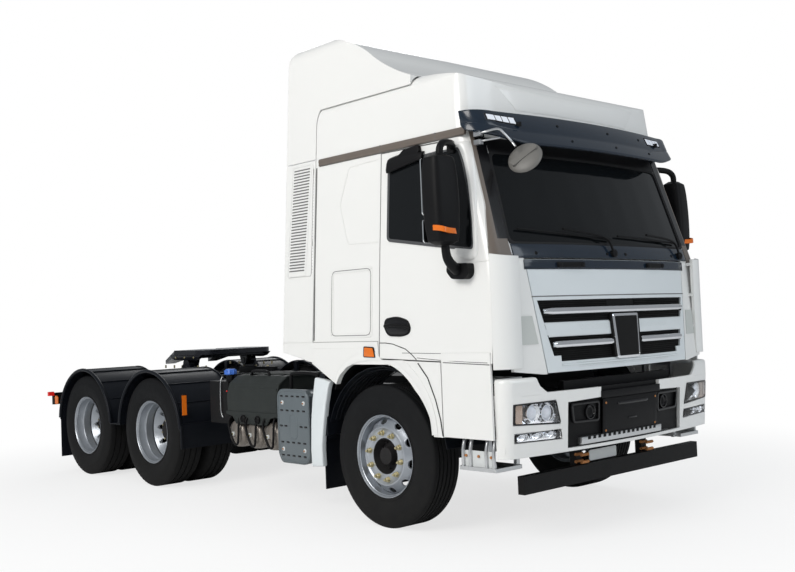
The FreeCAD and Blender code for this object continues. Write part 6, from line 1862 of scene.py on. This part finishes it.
class TRUCK_OT_fender_trim(bpy.types.Operator):
    """Rolled lips, cross ribs, reflectors and lamps of the rear end"""

    bl_idname = "truck.fender_trim"
    bl_label = "Fender Trim"

    def execute(self, context):
        for step in (self.lips, self.coupling, self.reflectors, self.frame_bolts, self.step_ribs):
            step()
        return {"FINISHED"}

    def lips(self):
        """Rolled lips and cross ribs of the rear wheel covers."""
        lips, edge, crest = Form(), 0.583, 0.5865
        arc = [math.radians(6 + 168 * k / 40) for k in range(41)]
        for s in (-1, 1):
            for cx in (-MID_BACK, -LAST_BACK):
                for y, size in ((1.232, 0.017), (0.592, 0.010)):
                    lips.rod([at(cx + edge * math.cos(a), s * y, AXLE_Z + edge * math.sin(a)) for a in arc],
                             size, 10)
                for a in [math.radians(30 + 22 * k) for k in range(6)]:
                    x, z = cx + crest * math.cos(a), AXLE_Z + crest * math.sin(a)
                    lips.rod([at(x, s * y, z) for y in (0.605, 1.225)], 0.0055, 8)
            nose = -MID_BACK + 0.59
            lips.rod([at(nose, s * 1.228, 0.60), at(nose + 0.002, s * 1.228, 0.40)], 0.011, 8)
        piece("fender_lips", lips, "guard", "chassis", "guard_black", smooth=50)

    def coupling(self):
        """The coupling plate's skirt with its bolts, and the bed under it."""
        skirt = Form()
        wall = [(-4.226, 1.2125), (-4.190, 1.176), (-4.120, 1.160), (-3.740, 1.156), (-3.660, 1.172),
                (-3.600, 1.2125)]
        for s in (-1, 1):
            low, high = sorted((s * 0.405, s * 0.442))
            skirt.prism(wall, along_y, low, high)
            for x in (-4.10, -3.92, -3.74):
                stud(skirt, beside(s), x, 1.186, 0.436, 0.449, 0.011, 12, 1)
        for x in (-4.180, -3.660):
            skirt.box(at(x - 0.010, -0.405, 1.178), at(x + 0.010, 0.405, 1.2125))
        piece("coupling_skirt", skirt, ["grease", "nut"], "coupling_plate", "coupling_black", bevel=0.004)
        bed = Form()
        for s in (-1, 1):
            low, high = sorted((s * 0.335, s * 0.395))
            bed.box(at(-4.07, low, 0.968), at(-3.42, high, 1.050))
            for k in range(3):
                stud(bed, along_z, -4.00 + 0.22 * k, s * 0.365, 1.048, 1.064, 0.014, 6, 1)
        piece("coupling_bed", bed, ["frame", "nut"], "chassis", "frame_paint", bevel=0.003)

    def reflectors(self):
        """Orange reflectors on the covers' noses and sides, and the round rear lamps."""
        marks = Form()
        for s in (-1, 1):
            marks.box(at(-2.714, s * 1.19 - 0.022, 0.700), at(-2.700, s * 1.19 + 0.022, 0.880), 0)
            marks.box(at(-2.716, s * 1.19 - 0.028, 0.692), at(-2.708, s * 1.19 + 0.028, 0.888), 1)
            marks.box(at(-5.35, s * 1.232 - 0.004, 0.72), at(-5.28, s * 1.232 + 0.004, 0.80), 0)
            for y, colour in ((0.82, 2), (0.93, 0), (1.02, 3), (1.11, 2)):
                lens = lambda u, v, w, y=y: at(-5.5615 - w, s * y + u, 0.765 + v)
                marks.turned([(0.0, 0.008), (0.030, 0.006), (0.040, 0.0), (0.042, -0.006)], lens, 24, colour,
                             closed=False)
            marks.box(at(-5.54, s * 1.205 - 0.03, 0.80), at(-5.50, s * 1.205 + 0.03, 0.845), 2)
            low, high = sorted((s * 1.168, s * 1.180))
            marks.box(at(-5.47, low, 0.735), at(-5.43, high, 0.800), 0)
        piece("rear_reflectors", marks, ["orange", "black", "red", "white lens"], "chassis",
              "lamp_glass", smooth=40)

    def frame_bolts(self):
        """Grease nipples on the frame's top and bolt heads along its sides."""
        nipples = Form()
        for s in (-1, 1):
            for z, places in ((1.092, (-3.55, -3.70, -3.86, -4.02, -4.18, -4.36)),
                              (0.985, (-2.6, -2.9, -2.3))):
                for x in places:
                    stud(nipples, along_z, x, s * 0.415, z - 0.02, z + 0.012, 0.009, 8)
        for k in range(14):
            x = -5.2 + 0.36 * k
            for s in (-1, 1):
                for z in (0.86, 0.93):
                    stud(nipples, beside(s), x, z, 0.420, 0.441, 0.010, 6, 1)
        piece("frame_bolts", nipples, ["nut", "cast"], "chassis", "frame_paint")

    def step_ribs(self):
        """Ribs, posts and side plates of the entry steps."""
        step = Form()
        for s in (-1, 1):
            for z in (0.505, 0.805):
                for k in range(4):
                    y = s * (1.20 - 0.028 * k)
                    step.box(at(0.80, y - 0.006, z - 0.003), at(1.10, y + 0.006, z + 0.004), 0)
            for x in (0.815, 0.88, 1.02, 1.085):
                step.rod([at(x, s * y, z) for y, z in ((1.205, 0.50), (1.205, 0.62), (1.185, 0.70))], 0.012, 10)
            step.prism(rounded([(0.80, 0.51), (1.10, 0.51), (1.08, 0.62), (0.82, 0.62)], 0.02, 3),
                       beside(s), 1.192, 1.198, 1)
            for x in (0.84, 0.95, 1.06):
                stud(step, beside(s), x, 0.585, 1.199, 1.209, 0.010, 6, 2)
        piece("step_ribs", step, ["bright", "plate", "bolt"], "chassis", "bright_alloy", bevel=0.0015)


# inside the cab

def stuffed(name, form, voxel, cap, body, fill):
    """A padded piece: its plain form is remeshed, blown up as cloth within a cap, and smoothed."""
    blank = shown(name + " Blank", cast(form))
    even = blank.modifiers.new("Even Mesh", "REMESH")
    even.mode = "VOXEL"
    even.voxel_size = voxel
    bpy.context.view_layer.update()
    fine = bpy.data.meshes.new_from_object(evaluated(blank))
    bpy.data.objects.remove(blank)
    made = shown(name, fine)
    rest = [v.co.copy() for v in fine.vertices]
    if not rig.quick():
        cloth = made.modifiers.new("Stuffing", "CLOTH")
        for setting, value in (("quality", 4), ("mass", 0.4), ("tension_stiffness", 12),
                               ("compression_stiffness", 12), ("shear_stiffness", 6),
                               ("bending_stiffness", 2), ("use_pressure", True),
                               ("uniform_pressure_force", 4)):
            setattr(cloth.settings, setting, value)
        cloth.settings.effector_weights.gravity = 0
        cloth.collision_settings.use_collision = False
        scene = bpy.context.scene
        for step in range(1, 21):
            scene.frame_set(step)
        moved_to = [v.co.copy() for v in evaluated(made).to_mesh().vertices]
        evaluated(made).to_mesh_clear()
        made.modifiers.remove(cloth)
        scene.frame_set(1)
        for vertex, start, end in zip(fine.vertices, rest, moved_to):
            move = end - start
            if move.length > cap:
                move = move.normalized() * cap
            vertex.co = start + move
    for face in fine.polygons:
        face.use_smooth = True
    fine.materials.clear()
    fine.materials.append(FINISH["cloth"])
    smooth = made.modifiers.new("Smooth Cover", "SUBSURF")
    smooth.levels = smooth.render_levels = 1
    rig.ride(made, body)
    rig.slot(made, "seat_fabric")
    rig.padded(made, fill)
    return made


def pad_form(outline, place, low, high, crown, steps=8):
    """A crowned pad: an outline pushed from low to high, drawn in towards both faces."""
    rows = []
    for k in range(steps + 1):
        t = k / steps
        draw = crown * (1 - math.sin(math.pi * t) ** 0.5)
        rows.append([place(u, v, low + (high - low) * t) for u, v in shrunk(outline, draw)])
    form = Form().grid(rows, 0, True)
    form.put(rows[0], [tuple(range(len(outline)))[::-1]])
    form.put(rows[-1], [tuple(range(len(outline)))])
    return form


class TRUCK_OT_inside(bpy.types.Operator):
    """Stuffed seats and bunk with their bases and piping, and the dashboard's faces"""

    bl_idname = "truck.inside"
    bl_label = "Inside"

    def execute(self, context):
        for step in (self.chair_bases, self.chairs, self.bunk, self.chair_piping, self.dash_faces):
            step()
        return {"FINISHED"}

    def chair_bases(self):
        """Pedestals with bellows, pans and back shells."""
        base = Form()
        for s in (-1, 1):
            y = s * CHAIR_Y
            base.box(at(0.13, y - 0.18, 1.2203), at(0.52, y + 0.18, 1.30), 0)
            for k in range(4):
                base.box(at(0.14 + 0.004 * k, y - 0.172 + 0.004 * k, 1.30 + 0.035 * k),
                         at(0.51 - 0.004 * k, y + 0.172 - 0.004 * k, 1.328 + 0.035 * k), 1)
            base.box(at(0.10, y - 0.21, 1.435), at(0.56, y + 0.21, 1.475), 0)
            back = [(0.070, 1.50), (0.10, 1.50), (-0.005, 2.28), (-0.033, 2.28)]
            base.prism(back, along_y, y - 0.205, y + 0.205, 0)
            for dy in (-0.06, 0.06):
                base.rod([at(-0.015, y + dy, 2.26), at(-0.022, y + dy, 2.36)], 0.008, 8, 2)
        made = piece("chair_bases", base, ["black", "rubber seal", "bright"], "cab", "black_trim",
                     bevel=0.004)
        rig.replaces(made, "seats")

    def chairs(self):
        """Stuffed cushions, backs and head rests."""
        for label, s in SIDES:
            y = s * CHAIR_Y
            cushion = tablet(0.075, 0.585, y - 0.235, y + 0.235, 0.05, 4)
            back = rounded([(-0.215, 0.02), (0.215, 0.02), (0.195, 0.73), (-0.195, 0.73)], 0.06, 4)
            lean = lambda u, v, w, y=y: at(0.100 - 0.147 * v + w, y + u, 1.56 + v)
            head = rounded([(-0.115, 0.0), (0.115, 0.0), (0.10, 0.17), (-0.10, 0.17)], 0.04, 4)
            rest = lambda u, v, w, y=y: at(-0.030 - 0.09 * v + w, y + u, 2.32 + v)
            for word, pad, voxel, cap, fill in (
                    ("cushion", pad_form(cushion, along_z, 1.49, 1.64, 0.02), 0.016, 0.014, 0.8),
                    ("back", pad_form(back, lean, 0.0, 0.075, 0.02), 0.016, 0.012, 0.8),
                    ("head_rest", pad_form(head, rest, 0.0, 0.050, 0.015), 0.013, 0.010, 0.9)):
                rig.replaces(stuffed(f"{label}_{word}", pad, voxel, cap, "cab", fill), "seats")

    def bunk(self):
        """The stuffed mattress on its board and posts."""
        mattress = tablet(-0.628, -0.075, -1.045, 1.045, 0.05, 4)
        bed = stuffed("bunk_mattress", pad_form(mattress, along_z, 1.945, 2.052, 0.018, 6), 0.024, 0.012,
                      "cab", 0.7)
        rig.replaces(bed, "bunk")
        frame_form = Form()
        frame_form.box(at(-0.636, -1.07, 1.892), at(-0.062, 1.07, 1.930), 0)
        for y in (-0.66, 0.63):
            frame_form.box(at(-0.636, y, 1.222), at(-0.062, y + 0.03, 1.892), 0)
        stand = piece("bunk_base", frame_form, "inside", "cab", "interior_grey", bevel=0.003)
        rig.replaces(stand, "bunk")

    def chair_piping(self):
        """Thin piping round the cushions' edges."""
        piping = Form()
        for s in (-1, 1):
            y = s * CHAIR_Y
            for z in (1.500, 1.628):
                loop = [at(u, v, z) for u, v in tablet(0.080, 0.578, y - 0.228, y + 0.228, 0.05, 4)]
                piping.rod(loop + loop[:1], 0.0035, 6)
        piece("chair_piping", piping, "rubber seal", "cab", "seat_fabric")

    def dash_faces(self):
        """Air outlets, the instrument panel and a middle panel on the dashboard."""
        dash = Form()
        for y in (-0.92, -0.34, 0.34, 0.92):
            dash.prism(tablet(y - 0.06, y + 0.06, 1.80, 1.855, 0.01, 3),
                       lambda u, v, w: at(0.760 + (v - 1.8) * 0.31 - w, u, v), 0.0, 0.006, 0)
        dash.prism(tablet(0.45, 0.83, 1.81, 1.90, 0.02, 3),
                   lambda u, v, w: at(0.762 + (v - 1.8) * 0.31 - w, u, v), 0.0, 0.008, 1)
        dash.prism(tablet(-0.12, 0.28, 1.70, 1.79, 0.02, 3),
                   lambda u, v, w: at(0.800 - (v - 1.7) * 0.4 - w, u, v), 0.0, 0.006, 1)
        piece("dashboard_faces", dash, ["black", "gloss black"], "cab", "black_trim", bevel=0.001)


# studio

class TRUCK_OT_stage(bpy.types.Operator):
    """Floor, even sky, soft lamps and the camera"""

    bl_idname = "truck.stage"
    bl_label = "Stage"

    def execute(self, context):
        sizes = context.scene.truck_stage
        scene = context.scene
        scene.view_settings.view_transform = "Standard"
        size = sizes.floor / 2
        mesh = bpy.data.meshes.new("Floor")
        mesh.from_pydata([(-size, -size, 0), (size, -size, 0), (size, size, 0), (-size, size, 0)], [],
                         [(0, 1, 2, 3)])
        mesh.materials.append(self.floor_finish())
        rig.stage(shown("Floor", mesh))
        self.sky(scene, sizes.sky)
        self.lamp("Side Lamp", (2.5, -11.0, 7.5), (0.3, 0.0, 1.6), 7.0, sizes.key, (1.0, 0.975, 0.94))
        self.lamp("Front Lamp", (12.0, 2.0, 6.0), (1.5, 0.0, 1.6), 6.0, sizes.fill, (0.86, 0.93, 1.0))
        self.lamp("Rear Lamp", (-9.0, 7.0, 7.0), (-1.0, 0.0, 1.2), 6.0, sizes.fill, (1.0, 1.0, 1.0))
        self.camera(scene)
        return {"FINISHED"}

    def floor_finish(self):
        made = bpy.data.materials.new("Pale Floor")
        made.use_nodes = True
        tree = made.node_tree
        new, join = tree.nodes.new, tree.links.new
        tree.nodes.clear()
        plain = new("ShaderNodeBsdfDiffuse")
        plain.inputs["Color"].default_value = (0.88, 0.88, 0.88, 1.0)
        white = new("ShaderNodeEmission")
        place = new("ShaderNodeTexCoord")
        far = new("ShaderNodeVectorMath")
        far.operation = "LENGTH"
        join(place.outputs["Object"], far.inputs[0])
        fade = new("ShaderNodeMapRange")
        fade.interpolation_type = "SMOOTHSTEP"
        fade.inputs["From Min"].default_value = 3.2
        fade.inputs["From Max"].default_value = 6.5
        fade.inputs["To Min"].default_value = 0.72
        join(far.outputs["Value"], fade.inputs["Value"])
        seen = new("ShaderNodeLightPath")
        share = new("ShaderNodeMath")
        share.operation = "MULTIPLY"
        join(fade.outputs[0], share.inputs[0])
        join(seen.outputs["Is Camera Ray"], share.inputs[1])
        blend = new("ShaderNodeMixShader")
        join(share.outputs[0], blend.inputs[0])
        join(plain.outputs[0], blend.inputs[1])
        join(white.outputs[0], blend.inputs[2])
        out = new("ShaderNodeOutputMaterial")
        join(blend.outputs[0], out.inputs[0])
        return made

    def sky(self, scene, level):
        world = bpy.data.worlds.new("Studio Sky")
        scene.world = world
        world.use_nodes = True
        tree = world.node_tree
        new, join = tree.nodes.new, tree.links.new
        tree.nodes.clear()
        seen = new("ShaderNodeLightPath")
        either = new("ShaderNodeMath")
        either.operation = "MAXIMUM"
        join(seen.outputs["Is Camera Ray"], either.inputs[0])
        join(seen.outputs["Is Transmission Ray"], either.inputs[1])
        light = new("ShaderNodeBackground")
        light.inputs["Color"].default_value = (0.93, 0.97, 1.0, 1.0)
        light.inputs["Strength"].default_value = level
        white = new("ShaderNodeBackground")
        white.inputs["Color"].default_value = (1.0, 1.0, 1.0, 1.0)
        shine = new("ShaderNodeBackground")
        shine.inputs["Color"].default_value = (0.90, 0.95, 1.0, 1.0)
        shine.inputs["Strength"].default_value = 0.35
        first = new("ShaderNodeMixShader")
        join(seen.outputs["Is Glossy Ray"], first.inputs[0])
        join(light.outputs[0], first.inputs[1])
        join(shine.outputs[0], first.inputs[2])
        blend = new("ShaderNodeMixShader")
        join(either.outputs[0], blend.inputs[0])
        join(first.outputs[0], blend.inputs[1])
        join(white.outputs[0], blend.inputs[2])
        out = new("ShaderNodeOutputWorld")
        join(blend.outputs[0], out.inputs[0])

    def lamp(self, name, spot, target, width, power, colour):
        data = bpy.data.lights.new(name, "AREA")
        data.shape = "DISK"
        data.size = width
        data.energy = power
        data.color = colour
        made = shown(name, data)
        made.location = spot
        made.rotation_euler = (Vector(target) - Vector(spot)).to_track_quat("-Z", "Y").to_euler()

    def camera(self, scene):
        data = bpy.data.cameras.new("Camera")
        data.sensor_width = 36.0
        data.lens = 45.77
        data.clip_end = 400.0
        made = shown("Camera", data)
        yaw, pitch, roll = math.radians(137.05), math.radians(1.96), math.radians(-2.25)
        ahead = Vector((math.cos(pitch) * math.cos(yaw), math.cos(pitch) * math.sin(yaw), math.sin(pitch)))
        right = Vector((math.sin(yaw), -math.cos(yaw), 0))
        up = right.cross(ahead)
        across = right * math.cos(roll) + up * math.sin(roll)
        rise = up * math.cos(roll) - right * math.sin(roll)
        turn = Matrix((across, rise, -ahead)).transposed().to_4x4()
        made.matrix_world = Matrix.Translation((7.579, -6.065, 1.489)) @ turn
        scene.camera = made


GROUPS = (("truck_colours", BodyColours), ("truck_wheels", WheelSizes), ("truck_stage", StageSizes))
OPERATORS = tuple(c for n, c in list(globals().items()) if n.startswith("TRUCK_OT_"))


class TRUCK_PT_panel(bpy.types.Panel):
    """The dressing steps and their settings"""

    bl_label = "Tractor Unit"
    bl_idname = "TRUCK_PT_panel"
    bl_space_type = "VIEW_3D"
    bl_region_type = "UI"
    bl_category = "Truck"

    def draw(self, context):
        column = self.layout.column(align=True)
        for group, kind in GROUPS:
            for name in kind.__annotations__:
                column.prop(getattr(context.scene, group), name)
        for step in OPERATORS:
            column.operator(step.bl_idname)


def register():
    for _, kind in GROUPS:
        bpy.utils.register_class(kind)
    for step in OPERATORS + (TRUCK_PT_panel,):
        bpy.utils.register_class(step)
    for group, kind in GROUPS:
        setattr(bpy.types.Scene, group, bpy.props.PointerProperty(type=kind))


def unregister():
    for group, _ in GROUPS:
        delattr(bpy.types.Scene, group)
    for step in reversed(OPERATORS + (TRUCK_PT_panel,)):
        bpy.utils.unregister_class(step)
    for _, kind in reversed(GROUPS):
        bpy.utils.unregister_class(kind)


def main():
    register()
    for step in OPERATORS:
        getattr(bpy.ops.truck, step.bl_idname.split(".")[1])()
    low, high = CAD_BOX
    new_low, new_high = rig.bounds()
    with open("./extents.json", "w") as out:
        json.dump({"cad": [list(low), list(high)], "visual": [list(new_low), list(new_high)]}, out)


if __name__ == "__main__":
    main()
